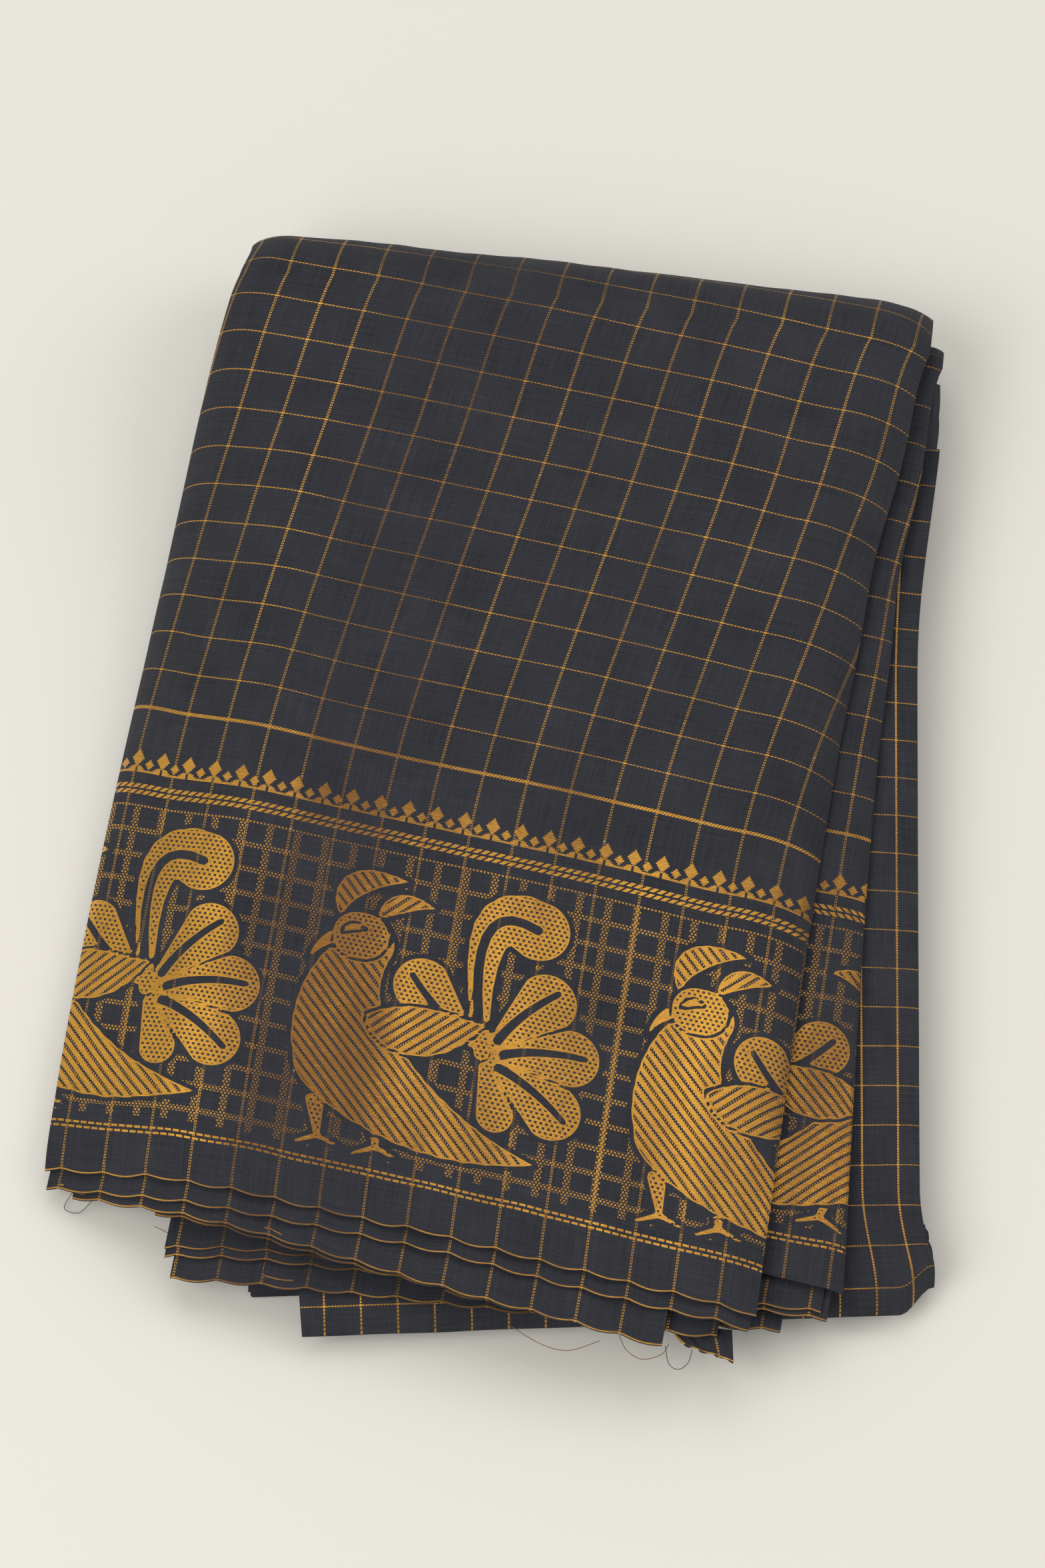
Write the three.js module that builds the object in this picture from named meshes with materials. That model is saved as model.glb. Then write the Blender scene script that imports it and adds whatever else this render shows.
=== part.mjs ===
// A cotton saree with a woven gold border, folded for the shelf and laid flat.
//
// One length of cloth, 1.2 m wide, is folded in half five times along its length, into a strip
// as wide as the folded saree. The strip is folded once at the middle of the cloth's width and
// once more across, so it makes a hairpin: an upper half with the cut-free selvedges at its
// end, a thick fold at the back, and a lower half that ends in a rounded fold. The upper half
// has been turned a little on the lower one, so its layers fan out at the front and step down
// to the right, and its left side slumps to the table.
//
// Units are millimetres. +X runs across the saree, +Y from the loose edges to the thick fold,
// +Z up from the table. Every solid is a lattice whose points lie at a place along the hairpin,
// a distance across it and a depth below its outer cloth.
import * as THREE from "three";

// ---- Driving sizes ----
const WALL = 1; // cloth wall of a stretch that shows
const AIR = 0.35; // space between stretches that lie on each other
const PANEL_AIR = 0.5; // space under the curved front panel
const FOLD_RADIUS = 20; // outer radius of the thick fold at the back
const END_MIDDLE = 13.5; // height between the halves at the loose edges
const END_UPPER = 13.5; // thickness of the upper half at the loose edges
const REACH = 270; // from the fold's axis to the loose edges
const LEAF_START = 0.86; // share of the upper half where the separate leaves begin
const HALF_GAP = WALL / 2 + AIR; // from the middle height to the hidden layers of each half
const SLUMP = 52; // how far past the lower half the upper half takes to reach the table
const SLUMP_END = -79; // where the lower half stops holding it up, at the loose edges
const FOLD_BOW = 1.5; // how far the thick fold bows out at its middle
const BOW_LEFT = 5.2; // how far the upper half's sides bow to the left
const BOW_RIGHT = 5.8;
const LOWER_BOW = 4.3; // the same at the lower half's right side

// Corners in plan, before the part is centred.
const FOLD_LEFT = new THREE.Vector2(-79.5, 154.5);
const FOLD_RIGHT = new THREE.Vector2(114, 129.5);
const SELVEDGE_LEFT = new THREE.Vector2(-126, -100.5);
const SELVEDGE_RIGHT = new THREE.Vector2(60, -148);
const REAR_LEFT = new THREE.Vector2(-72, -148.5);
const REAR_RIGHT = new THREE.Vector2(107, -141.5);
const CENTRE = new THREE.Vector2(-3.41, 7.03); // middle of the footprint, moved to the origin

const along = FOLD_RIGHT.clone().sub(FOLD_LEFT);
const WIDTH = along.length();
along.normalize();
const outward = new THREE.Vector2(-along.y, along.x);
const selvedgeLine = SELVEDGE_RIGHT.clone().sub(SELVEDGE_LEFT).divideScalar(WIDTH);
const rearLine = REAR_RIGHT.clone().sub(REAR_LEFT).divideScalar(WIDTH);

const mix = (a, b, share) => a + (b - a) * share;
const clamp = (value, low, high) => Math.min(high, Math.max(low, value));
const ease = (value) => {
  const v = clamp(value, 0, 1);
  return v * v * (3 - 2 * v);
};
const bell = (distance, width) => Math.exp(-((distance / width) ** 2));

// Broad troughs (negative) and ridges in the upper half: place across, first and last distance
// from the fold's axis, half width and height.
const SWELLS = [
  { across: 26, from: 150, to: 300, width: 12, height: 1.1 },
  { across: 66, from: 150, to: 330, width: 15, height: -1.2 },
  { across: 118, from: 60, to: 320, width: 26, height: 0.9 },
  { across: 168, from: -20, to: 230, width: 9, height: -0.8 },
];

// ---- Places in plan ----
const foldBow = (across) => FOLD_BOW * Math.sin(Math.PI * clamp(across / WIDTH, 0, 1));
const foldPoint = (across) =>
  FOLD_LEFT.clone().addScaledVector(along, across).addScaledVector(outward, foldBow(across));

function upperBow(across, share) {
  const s = clamp(share, 0, 1);
  const left = BOW_LEFT * Math.sin(Math.PI * s) ** 0.75;
  const right = BOW_RIGHT * Math.sin(Math.PI * s ** 0.7);
  return mix(left, right, across / WIDTH);
}

function upperPoint(across, share) {
  const edge = SELVEDGE_LEFT.clone().addScaledVector(selvedgeLine, across);
  const point = foldPoint(across).lerp(edge, share);
  point.x -= upperBow(across, share);
  return point;
}

function lowerPoint(across, share) {
  const edge = REAR_LEFT.clone().addScaledVector(rearLine, across);
  const point = foldPoint(across).lerp(edge, share);
  point.x -= LOWER_BOW * (across / WIDTH) * ease(share / 0.35) * ease((1 - share) / 0.12);
  return point;
}

const fromFold = (point) => FOLD_LEFT.clone().sub(point).dot(outward);
const REACH_LEFT = fromFold(SELVEDGE_LEFT);
const REACH_RIGHT = fromFold(SELVEDGE_RIGHT);

// The place in the upper half that lies at a plan point: upperPoint turned round, in a few steps.
function upperPlace(point) {
  let across = WIDTH / 2;
  let share = 0.5;
  for (let step = 0; step < 5; step++) {
    const straight = point.clone().addScaledVector(outward, (share - 1) * foldBow(across));
    straight.x += upperBow(across, share);
    share = fromFold(straight) / mix(REACH_LEFT, REACH_RIGHT, across / WIDTH);
    const row = along.clone().lerp(selvedgeLine, share);
    const start = FOLD_LEFT.clone().lerp(SELVEDGE_LEFT, share);
    across = straight.sub(start).dot(row) / row.lengthSq();
  }
  return { across, share };
}

// 1 where the lower half holds the upper one up, 0 where it has come down to the table.
function support(point) {
  const share = clamp((FOLD_LEFT.y - point.y) / (FOLD_LEFT.y - REAR_LEFT.y), 0, 1);
  const lowerEdge = mix(FOLD_LEFT.x, SLUMP_END, share);
  const held = ease((point.x - lowerEdge + SLUMP) / (SLUMP + 18));
  return 1 - (1 - held) * ease(fromFold(point) / 90);
}

// Height between the halves, and the upper half's own thickness.
function middle(point) {
  const settle = (1 - clamp(fromFold(point) / REACH, 0, 1)) ** 1.6;
  return mix(END_MIDDLE, FOLD_RADIUS, settle) * support(point);
}

// Left of the second group of layers only the first is left, so the upper half grows thinner.
function upperThickness(point) {
  const q = clamp(fromFold(point) / REACH, 0, 1);
  const hump = 1.6 * Math.sin(Math.PI * clamp(q / 0.4, 0, 1));
  const thin = 0.4 * ease(q / 0.4) * (1 - ease(upperPlace(point).across / 42));
  return (mix(END_UPPER, FOLD_RADIUS, (1 - q) ** 1.6) + hump) * (1 - thin);
}

function swell(point) {
  const q = fromFold(point);
  const { across } = upperPlace(point);
  return SWELLS.reduce((sum, s) => {
    const reach = ease((q - s.from) / 60) * ease((s.to - q) / 60);
    return sum + s.height * reach * bell(across - s.across, s.width);
  }, 0);
}

const upperTop = (point) => middle(point) + upperThickness(point) + swell(point);

// ---- Rolled side edges: how far the outer cloth drops towards its two side folds ----
const ROLL_TIGHTNESS = 0.95;
const FULL_ROLL = 1 - Math.sqrt(1 - ROLL_TIGHTNESS ** 2);

function rollDrop(distance, reach, drop) {
  const inside = clamp(1 - distance / reach, 0, 1) * ROLL_TIGHTNESS;
  return (drop * (1 - Math.sqrt(1 - inside * inside))) / FULL_ROLL;
}

// Drop and reach of the side rolls at a station.
function rolls(station) {
  if (station.part === "lower") return { left: [6, 0], right: [6, 0] };
  if (station.part === "fold") {
    const turn = ease(station.angle / (0.8 * Math.PI));
    return { left: [12, mix(5, 0, turn)], right: [16, mix(6, 0, turn)] };
  }
  const open = ease((station.share - 0.4) / 0.6);
  const settled = ease(station.share / 0.25);
  return {
    left: [12, mix(mix(5, 7.5, settled), 2, open)],
    right: [mix(mix(16, 24, settled), 13, open), mix(mix(6, 10, settled), 2.6, open)],
  };
}

function panelDrop(station, across) {
  const { left, right } = rolls(station);
  return rollDrop(across, ...left) + rollDrop(WIDTH - across, ...right);
}

// The same for the lower half's upper cloth, at its end and its right side.
const REAR_END = [9, 1]; // reach and drop
const REAR_SIDE = [8, 0.8];

function rearDrop(station, across) {
  const right = groupSides(station).second[1];
  const toEnd = (1 - station.share) * REACH;
  const open = ease((station.share - 0.3) / 0.2);
  return (rollDrop(toEnd, ...REAR_END) + rollDrop(right - across, ...REAR_SIDE)) * open;
}

function panelSlope(station, across) {
  const step = 0.2;
  const ahead = panelDrop(station, Math.min(WIDTH, across + step));
  return (ahead - panelDrop(station, Math.max(0, across - step))) / (2 * step);
}

// ---- Stations along the hairpin ----
const upperStations = (first, last, steps) =>
  Array.from({ length: steps + 1 }, (_, i) => ({
    part: "upper",
    share: mix(first, last, i / steps),
  }));
const foldStations = (lastAngle, steps) =>
  Array.from({ length: steps - 1 }, (_, i) => ({
    part: "fold",
    angle: (lastAngle * (i + 1)) / steps,
  }));
const lowerStations = (first, last, steps) =>
  Array.from({ length: steps + 1 }, (_, i) => ({
    part: "lower",
    share: mix(first, last, i / steps),
  }));
const bodyStations = upperStations(LEAF_START, 0, 15);
const leafStations = upperStations(1, LEAF_START, 3).slice(0, -1);

// The point at a station, a distance across and a depth below the outer cloth.
function hairpinPoint(station, across, depth) {
  if (station.part === "upper") {
    const p = upperPoint(across, station.share);
    return new THREE.Vector3(p.x, p.y, upperTop(p) - depth);
  }
  if (station.part === "lower") {
    const p = lowerPoint(across, station.share);
    return new THREE.Vector3(p.x, p.y, depth);
  }
  const radius = FOLD_RADIUS - depth;
  const p = foldPoint(across).addScaledVector(outward, radius * Math.sin(station.angle));
  return new THREE.Vector3(p.x, p.y, FOLD_RADIUS + radius * Math.cos(station.angle));
}

// Depth of the gap between the halves at a station.
function innerDepth(station, across) {
  if (station.part === "fold") return FOLD_RADIUS - HALF_GAP;
  if (station.part === "lower") {
    const p = lowerPoint(across, station.share);
    return middle(p) - HALF_GAP - rearDrop(station, across);
  }
  const p = upperPoint(across, station.share);
  return upperTop(p) - middle(p) - HALF_GAP;
}

// Depth of the ledge between the two groups of layers.
function ledgeDepth(station, across) {
  const side = mix(panelDrop(station, 0), panelDrop(station, WIDTH), clamp(across / WIDTH, 0, 1));
  return mix(side + EDGE_COVER, innerDepth(station, across), LEDGE);
}

// ---- The closed outer skin of a lattice ----
function latticeSolid(ni, nj, nk, place) {
  const positions = [];
  const faces = [];
  const known = new Map();
  const vertex = (i, j, k) => {
    const key = (i * (nj + 1) + j) * (nk + 1) + k;
    if (!known.has(key)) {
      known.set(key, positions.length / 3);
      positions.push(...place(i, j, k).toArray());
    }
    return known.get(key);
  };
  const quad = (a, b, c, d) => faces.push(a, b, c, a, c, d);
  for (let i = 0; i < ni; i++) {
    for (let j = 0; j < nj; j++) {
      quad(vertex(i, j, 0), vertex(i + 1, j, 0), vertex(i + 1, j + 1, 0), vertex(i, j + 1, 0));
      quad(vertex(i, j, nk), vertex(i, j + 1, nk), vertex(i + 1, j + 1, nk), vertex(i + 1, j, nk));
    }
    for (let k = 0; k < nk; k++) {
      quad(vertex(i, 0, k), vertex(i, 0, k + 1), vertex(i + 1, 0, k + 1), vertex(i + 1, 0, k));
      quad(vertex(i, nj, k), vertex(i + 1, nj, k), vertex(i + 1, nj, k + 1), vertex(i, nj, k + 1));
    }
  }
  for (let j = 0; j < nj; j++) {
    for (let k = 0; k < nk; k++) {
      quad(vertex(0, j, k), vertex(0, j + 1, k), vertex(0, j + 1, k + 1), vertex(0, j, k + 1));
      quad(vertex(ni, j, k), vertex(ni, j, k + 1), vertex(ni, j + 1, k + 1), vertex(ni, j + 1, k));
    }
  }
  // Turn the faces outwards if the lattice's own directions are left-handed.
  const corner = (n) => new THREE.Vector3().fromArray(positions, 3 * faces[n]);
  let volume = 0;
  for (let f = 0; f < faces.length; f += 3) {
    volume += corner(f).dot(corner(f + 1).cross(corner(f + 2)));
  }
  if (volume < 0) faces.reverse();
  return new THREE.BufferGeometry()
    .setAttribute("position", new THREE.Float32BufferAttribute(positions, 3))
    .setIndex(faces);
}

// ---- Materials ----
const cotton = new THREE.MeshStandardMaterial({ color: 0x22242c, roughness: 0.9, metalness: 0 });
const hiddenCotton = new THREE.MeshStandardMaterial({ color: 0x1c1e26, roughness: 0.95, metalness: 0 });

const saree = new THREE.Group();
const placed = new THREE.Group();
placed.position.set(-CENTRE.x, -CENTRE.y, 0);
saree.add(placed);

function addPiece(name, geometry, material = cotton) {
  const mesh = new THREE.Mesh(geometry, material);
  mesh.name = name;
  placed.add(mesh);
}

// Distances across the panels, closer together where their sides roll over and where they slump.
const LEFT_ROLL = 12;
const RIGHT_ROLL = 24;
const SLUMPED = 68; // width of the slumped strip along the left side

function columnsAcross(edgeSteps, slumpSteps, middleSteps) {
  const list = [];
  for (let i = 0; i < edgeSteps; i++) {
    list.push(LEFT_ROLL * (1 - Math.cos((Math.PI / 2) * (i / edgeSteps))));
  }
  for (let i = 0; i < slumpSteps; i++) {
    list.push(mix(LEFT_ROLL, SLUMPED, i / slumpSteps));
  }
  for (let i = 0; i < middleSteps; i++) {
    list.push(mix(SLUMPED, WIDTH - RIGHT_ROLL, i / middleSteps));
  }
  for (let i = edgeSteps; i >= 0; i--) {
    list.push(WIDTH - RIGHT_ROLL * (1 - Math.cos((Math.PI / 2) * (i / edgeSteps))));
  }
  return list;
}

const panelColumns = columnsAcross(4, 7, 5);

// ---- Front panel: upper face, round the thick fold, and the underside ----
const UNDERSIDE_END = 0.93; // share of the lower half that it lies under

function frontPanel() {
  const stations = [
    ...leafStations,
    ...bodyStations,
    ...foldStations(Math.PI, 9),
    ...lowerStations(0, UNDERSIDE_END, 5),
  ];
  return latticeSolid(stations.length - 1, panelColumns.length - 1, 1, (i, j, k) => {
    const station = stations[i];
    const across = panelColumns[j];
    const slope = panelSlope(station, across);
    const length = Math.hypot(1, slope);
    const inside = (k * WALL) / length;
    const drop = panelDrop(station, across) + inside;
    return hairpinPoint(station, across - slope * inside, drop);
  });
}

// ---- Hidden layers: one hairpin whose sides and ends show the edges of its folds ----
const FOLDS_PER_GROUP = 4; // folded edges drawn in each of the two groups of layers
const RIDGE = 0.55; // how far a folded edge stands out
const LEDGE = 0.5; // share of the thickness where the second group begins
const TUCK = 2; // how far the layers lie inside the front panel's sides
const EDGE_COVER = 3; // height of the front panel's wall at its steep side edges

// Sides of the second group and of the lower half, as distances across from the front panel's.
function groupSides(station) {
  if (station.part === "upper") {
    const out = mix(4, 23, station.share ** 1.15);
    return { first: [0, WIDTH], second: [out * 0.9, WIDTH + out] };
  }
  if (station.part === "fold") return { first: [0, WIDTH], second: [-3, WIDTH + 4] };
  const out = ease(station.share / 0.3);
  return {
    first: [0, WIDTH],
    second: [mix(-3, 16 * station.share, out), WIDTH + mix(4, 0.6, out)],
  };
}

// Each folded edge lies a little further in or out than its neighbours.
const stagger = (row, travel) =>
  0.6 * Math.sin(2.4 * row + 0.6) + 0.4 * Math.sin(1.1 * row + travel * 5);

function sideRows() {
  const rows = [];
  const group = (name) => {
    const steps = 2 * FOLDS_PER_GROUP;
    for (let i = 0; i <= steps; i++) {
      rows.push({ name, share: i / steps, out: i % 2 ? RIDGE : -RIDGE });
    }
  };
  group("first");
  group("second");
  return rows;
}

function travelOf(station) {
  if (station.part === "upper") return -station.share;
  return station.part === "fold" ? station.angle / 20 : station.share;
}

function sideAcross(station, row, index, right) {
  const side = groupSides(station)[row.name][right ? 1 : 0];
  const wander = index === 0 ? 0 : row.out + stagger(Math.ceil(index / 2), travelOf(station));
  const inset = row.name === "first" || station.part !== "upper" ? TUCK : TUCK + 0.6;
  return right ? side - inset + wander : side + inset - wander;
}

// The lower half's rounded end: its upper folds reach further than its lower ones.
function endReach(station, row) {
  if (station.part !== "lower" || station.share < 0.9) return 0;
  const pull = row.name === "first" ? -14 : -2.2;
  return (pull + row.out * 1.4) * ease((station.share - 0.9) / 0.1);
}

function hiddenLayers() {
  const stations = [
    ...bodyStations,
    ...foldStations(Math.PI, 9),
    ...lowerStations(0, 1, 12),
  ];
  const rows = sideRows();
  const shares = panelColumns.map((across) => across / WIDTH);
  return latticeSolid(stations.length - 1, shares.length - 1, rows.length - 1, (i, j, k) => {
    const station = stations[i];
    const row = rows[k];
    const left = sideAcross(station, row, k, false);
    const right = sideAcross(station, row, k, true);
    const across = mix(left, right, shares[j]);
    const panelAcross = clamp(across, 0, WIDTH);
    const slope = panelSlope(station, panelAcross);
    const cover = station.part === "lower" ? WALL + AIR : (WALL + PANEL_AIR) * Math.hypot(1, slope);
    const top = panelDrop(station, panelAcross) + cover;
    const ledge = ledgeDepth(station, across);
    const depth =
      row.name === "first"
        ? mix(top, ledge - 0.2, row.share)
        : mix(ledge, innerDepth(station, across), row.share);
    const point = hairpinPoint(station, across, depth);
    point.y -= endReach(station, row);
    return point;
  });
}

// ---- Second fold: the stretch of border that shows right of the front panel ----
const SECOND_ROLL = 7; // reach of its rolled right side
const SECOND_END = 0.953; // share of the upper half that it reaches

function secondFold() {
  const stations = [
    ...upperStations(SECOND_END, LEAF_START, 3).slice(0, -1),
    ...bodyStations,
    ...foldStations(0.75 * Math.PI, 7),
  ];
  const steps = 6;
  return latticeSolid(stations.length - 1, steps, 1, (i, j, k) => {
    const station = stations[i];
    const side = groupSides(station).second[1];
    const inner = WIDTH + 1.2;
    const across = mix(inner, side, Math.sin((Math.PI / 2) * (j / steps)));
    const reach = Math.min(SECOND_ROLL, side - inner);
    const curl = rollDrop(side - across, reach, reach * 0.15);
    const top = ledgeDepth(station, across) - reach * 0.15 - AIR - WALL * (1 - k);
    return hairpinPoint(station, across, top + curl);
  });
}

// ---- Rear panel: the lower half's upper cloth, with its rolled right side and rounded end ----
function rearPanel() {
  const stations = lowerStations(0, 1, 12).slice(1);
  return latticeSolid(stations.length - 1, panelColumns.length - 1, 1, (i, j, k) => {
    const station = stations[i];
    const [left, right] = groupSides(station).second;
    const across = mix(left, right, panelColumns[j] / WIDTH);
    const p = lowerPoint(across, station.share);
    return new THREE.Vector3(p.x, p.y, middle(p) + WALL * (0.5 - k) - rearDrop(station, across));
  });
}

// ---- Leaves: the selvedges that show below the front panel, from the top down ----
// The two front corners in plan, the sag of the edge between them, and the place in the stack.
const LEAVES = [
  { name: "selvedge_leaf_1", left: [-125.6, -106], right: [58, -151.5], sag: 0.4, order: 1 },
  { name: "selvedge_leaf_2", left: [-118.5, -108.5], right: [35.7, -156.2], sag: -1, order: 2 },
  { name: "selvedge_leaf_3", left: [-96, -116.5], right: [28, -152], sag: -1.6, order: 3 },
  { name: "selvedge_leaf_4", left: [-20, -140.5], right: [50, -152.3], sag: -0.8, order: 4 },
  { name: "selvedge_leaf_5", left: [4, -137], right: [78.5, -146], sag: -0.4, order: 6 },
  { name: "selvedge_leaf_6", left: [-93.5, -127], right: [57, -144], sag: 0.3, order: 7 },
  { name: "selvedge_leaf_7", left: [-92, -132.4], right: [66.6, -148.8], sag: -1.8, order: 8 },
];
const STACK = 9; // places in the stack, the front panel's included
const SECOND_PLACE = 5; // the place that the second fold fills

// The upper half's plan point that lies back from a front point, level with the hidden layers.
function backOfLeaf(front) {
  const start = upperPoint(0, LEAF_START + 0.008);
  const line = upperPoint(WIDTH, LEAF_START + 0.008).sub(start).normalize();
  const back = FOLD_LEFT.clone().sub(SELVEDGE_LEFT).normalize();
  const gap = start.clone().sub(front);
  const reach = gap.cross(line) / back.cross(line);
  return front.clone().addScaledVector(back, reach);
}

function leafHeight(point, order) {
  const place = upperPlace(point);
  const across = clamp(place.across, 0, WIDTH);
  const station = { part: "upper", share: clamp(place.share, 0, 1) };
  const cover = panelDrop(station, across) + WALL + PANEL_AIR;
  const floor = middle(point) + HALF_GAP;
  return mix(upperTop(point) - cover, floor, (order - 1) / (STACK - 1));
}

function selvedgeLeaf({ left, right, sag, order }) {
  const rows = 3;
  const from = new THREE.Vector2(...left);
  const to = new THREE.Vector2(...right);
  const [low, high] = [upperPlace(from).across, upperPlace(to).across];
  const inside = panelColumns.filter((across) => across > low + 2 && across < high - 2);
  const columns = [low, ...inside, high];
  const solidShare = WALL / (WALL + AIR);
  return latticeSolid(rows, columns.length - 1, 1, (i, j, k) => {
    const share = (columns[j] - low) / (high - low);
    const front = from.clone().lerp(to, share);
    front.y += sag * Math.sin(Math.PI * share) + 0.35 * Math.sin(11 * share + 2 * order);
    const point = front.lerp(backOfLeaf(front), i / rows);
    return new THREE.Vector3(point.x, point.y, leafHeight(point, order + k * solidShare));
  });
}

// ---- Turned corner: the end of a leaf, twisted up under the others ----
const TURNED = {
  root: [new THREE.Vector2(37, -148.6), new THREE.Vector2(54, -150.2)],
  tip: [new THREE.Vector2(41.5, -154), new THREE.Vector2(54.2, -159.2)],
  rise: 5.5, // how far its outer corner stands up
};

function turnedCorner() {
  const steps = 5;
  return latticeSolid(steps, steps, 1, (i, j, k) => {
    const share = j / steps;
    const reach = i / steps;
    const root = TURNED.root[0].clone().lerp(TURNED.root[1], share);
    const tip = TURNED.tip[0].clone().lerp(TURNED.tip[1], share);
    const point = root.lerp(tip, reach);
    const rise = TURNED.rise * reach * Math.max(0, share - 0.55) ** 1.5;
    const base = leafHeight(point, SECOND_PLACE + k * 0.72);
    return new THREE.Vector3(point.x, point.y, base + rise);
  });
}

addPiece("front_panel", frontPanel());
addPiece("hidden_layers", hiddenLayers(), hiddenCotton);
addPiece("second_fold", secondFold());
addPiece("rear_panel", rearPanel());
LEAVES.forEach((leaf) => addPiece(leaf.name, selvedgeLeaf(leaf)));
addPiece("turned_corner", turnedCorner());

export default saree;
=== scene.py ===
"""Folded saree: thin cloth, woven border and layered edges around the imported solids.

Plan points are complex numbers in millimetres, x across and y towards the thick fold, before the
part is centred. Heights and depths are millimetres too; meshes are in metres.
"""

import math

import bpy
import numpy as np
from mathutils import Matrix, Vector


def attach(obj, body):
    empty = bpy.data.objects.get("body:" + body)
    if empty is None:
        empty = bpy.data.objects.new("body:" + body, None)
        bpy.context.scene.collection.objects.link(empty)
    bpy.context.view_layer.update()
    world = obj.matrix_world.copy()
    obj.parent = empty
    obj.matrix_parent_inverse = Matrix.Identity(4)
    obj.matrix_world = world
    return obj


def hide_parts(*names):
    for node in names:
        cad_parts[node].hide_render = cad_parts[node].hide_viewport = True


bl_info = {
    "name": "Folded Saree",
    "version": (1, 0, 0),
    "blender": (4, 5, 0),
    "location": "View3D > Sidebar > Saree",
    "description": "Models a folded cotton saree with gold checks and a woven bird border",
    "category": "Add Mesh",
}

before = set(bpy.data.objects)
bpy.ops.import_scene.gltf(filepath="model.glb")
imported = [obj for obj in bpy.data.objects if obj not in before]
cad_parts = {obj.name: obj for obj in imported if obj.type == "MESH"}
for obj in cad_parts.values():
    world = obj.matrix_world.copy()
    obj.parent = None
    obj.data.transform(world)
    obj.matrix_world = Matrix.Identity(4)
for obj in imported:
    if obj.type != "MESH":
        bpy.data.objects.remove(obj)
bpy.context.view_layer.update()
MM = 0.001

# ---- Driving sizes of the folded saree, in millimetres ----
WALL = 1.0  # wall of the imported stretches
AIR = 0.35
PANEL_AIR = 0.5
FOLD_RADIUS = 20.0
END_MIDDLE = 13.5
END_UPPER = 13.5
REACH = 270.0
LEAF_START = 0.86
HALF_GAP = WALL / 2 + AIR
SLUMP = 52.0
SLUMP_END = -79.0
FOLD_BOW = 1.5
BOW_LEFT = 5.2
BOW_RIGHT = 5.8
LOWER_BOW = 4.3
FOLD_LEFT = -79.5 + 154.5j
FOLD_RIGHT = 114 + 129.5j
SELVEDGE_LEFT = -126 - 100.5j
SELVEDGE_RIGHT = 60 - 148j
REAR_LEFT = -72 - 148.5j
REAR_RIGHT = 107 - 141.5j
CENTRE = -3.41 + 7.03j
WIDTH = abs(FOLD_RIGHT - FOLD_LEFT)
ALONG = (FOLD_RIGHT - FOLD_LEFT) / WIDTH
OUTWARD = ALONG * 1j
SELVEDGE_LINE = (SELVEDGE_RIGHT - SELVEDGE_LEFT) / WIDTH
REAR_LINE = (REAR_RIGHT - REAR_LEFT) / WIDTH

# Broad troughs and ridges: place across, first and last distance from the fold, half width, height.
SWELLS = [
    (26, 150, 300, 12, 1.1),
    (66, 150, 330, 15, -1.2),
    (118, 60, 320, 26, 0.9),
    (168, -20, 230, 9, -0.8),
]

# ---- The cloth's own pattern, in millimetres of the flat cloth ----
CHECK = 12.0  # pitch of the gold checks both ways
FIRST_WARP = 3.2  # place of a gold warp pair along the weft
THICK_LINE = 133.0  # the thick gold line above the border, from the selvedge
TEMPLE = 15.6  # the rest are distances below the thick line
ROPE = 23.5
BAND_TOP = 27.9
BAND_END = 116.0
DASHES = 120.5
BIRD_REPEAT = 92.8
CELL_ACROSS = 7.8  # cells of the dotted net behind the birds
CELL_DOWN = 7.1
GRAIN_LEAN = 20.0  # how far the warp leans from the panel's sides, if it did so all the way
LEAN_END = 0.42  # share of the upper half where the lean begins to stop
LEAN_FADE = 0.2  # and the share that it takes to stop
LEAN_IN_BORDER = GRAIN_LEAN * (LEAN_END + LEAN_FADE / 2)
SCALLOP = 1.0  # the selvedge hangs out this far between the gold warp pairs
CHECK_SHORTENED = CHECK / 11.45  # the field is eased up a little along the warp
SECOND_END = 0.953  # share of the upper half that the second fold reaches

UPPER, FOLD, LOWER = 0, 1, 2


def mix(a, b, share):
    return a + (b - a) * share


def ease(value):
    v = np.clip(value, 0, 1)
    return v * v * (3 - 2 * v)


def dot(a, b):
    return np.real(a * np.conj(b))


def at_height(plan, height):
    """Points (x, y, z) over plan points."""
    return np.stack([np.real(plan), np.imag(plan), height], axis=-1)


def waves(u, v, seed, length, count=7):
    """Smooth uneven waves of about unit height, the same on every run."""
    rng = np.random.default_rng(seed)
    total = 0.0
    for _ in range(count):
        turn, phase = rng.uniform(0, math.pi), rng.uniform(0, 2 * math.pi)
        own = length * rng.uniform(0.7, 1.5)
        total = total + np.sin(2 * math.pi * (u * math.cos(turn) + v * math.sin(turn)) / own + phase)
    return total / math.sqrt(count)


# ---- Places in plan ----
def fold_bow(across):
    return FOLD_BOW * np.sin(math.pi * np.clip(across / WIDTH, 0, 1))


def fold_plan(across):
    """A plan point on the line where the upper half turns down into the fold."""
    return FOLD_LEFT + ALONG * across + OUTWARD * fold_bow(across)


def upper_bow(across, share):
    s = np.clip(share, 0, 1)
    left = BOW_LEFT * np.abs(np.sin(math.pi * s)) ** 0.75
    right = BOW_RIGHT * np.sin(math.pi * s**0.7)
    return mix(left, right, across / WIDTH)


def upper_plan(across, share):
    """A plan point of the upper half, a share of the way from the fold to the selvedge."""
    straight = mix(fold_plan(across), SELVEDGE_LEFT + SELVEDGE_LINE * across, share)
    return straight - upper_bow(across, share)


def lower_plan(across, share):
    """A plan point of the lower half, a share of the way from the fold to its end."""
    straight = mix(fold_plan(across), REAR_LEFT + REAR_LINE * across, share)
    return straight - LOWER_BOW * (across / WIDTH) * ease(share / 0.35) * ease((1 - share) / 0.12)


def from_fold(point):
    return dot(FOLD_LEFT - point, OUTWARD)


REACH_LEFT = from_fold(SELVEDGE_LEFT)
REACH_RIGHT = from_fold(SELVEDGE_RIGHT)


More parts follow.
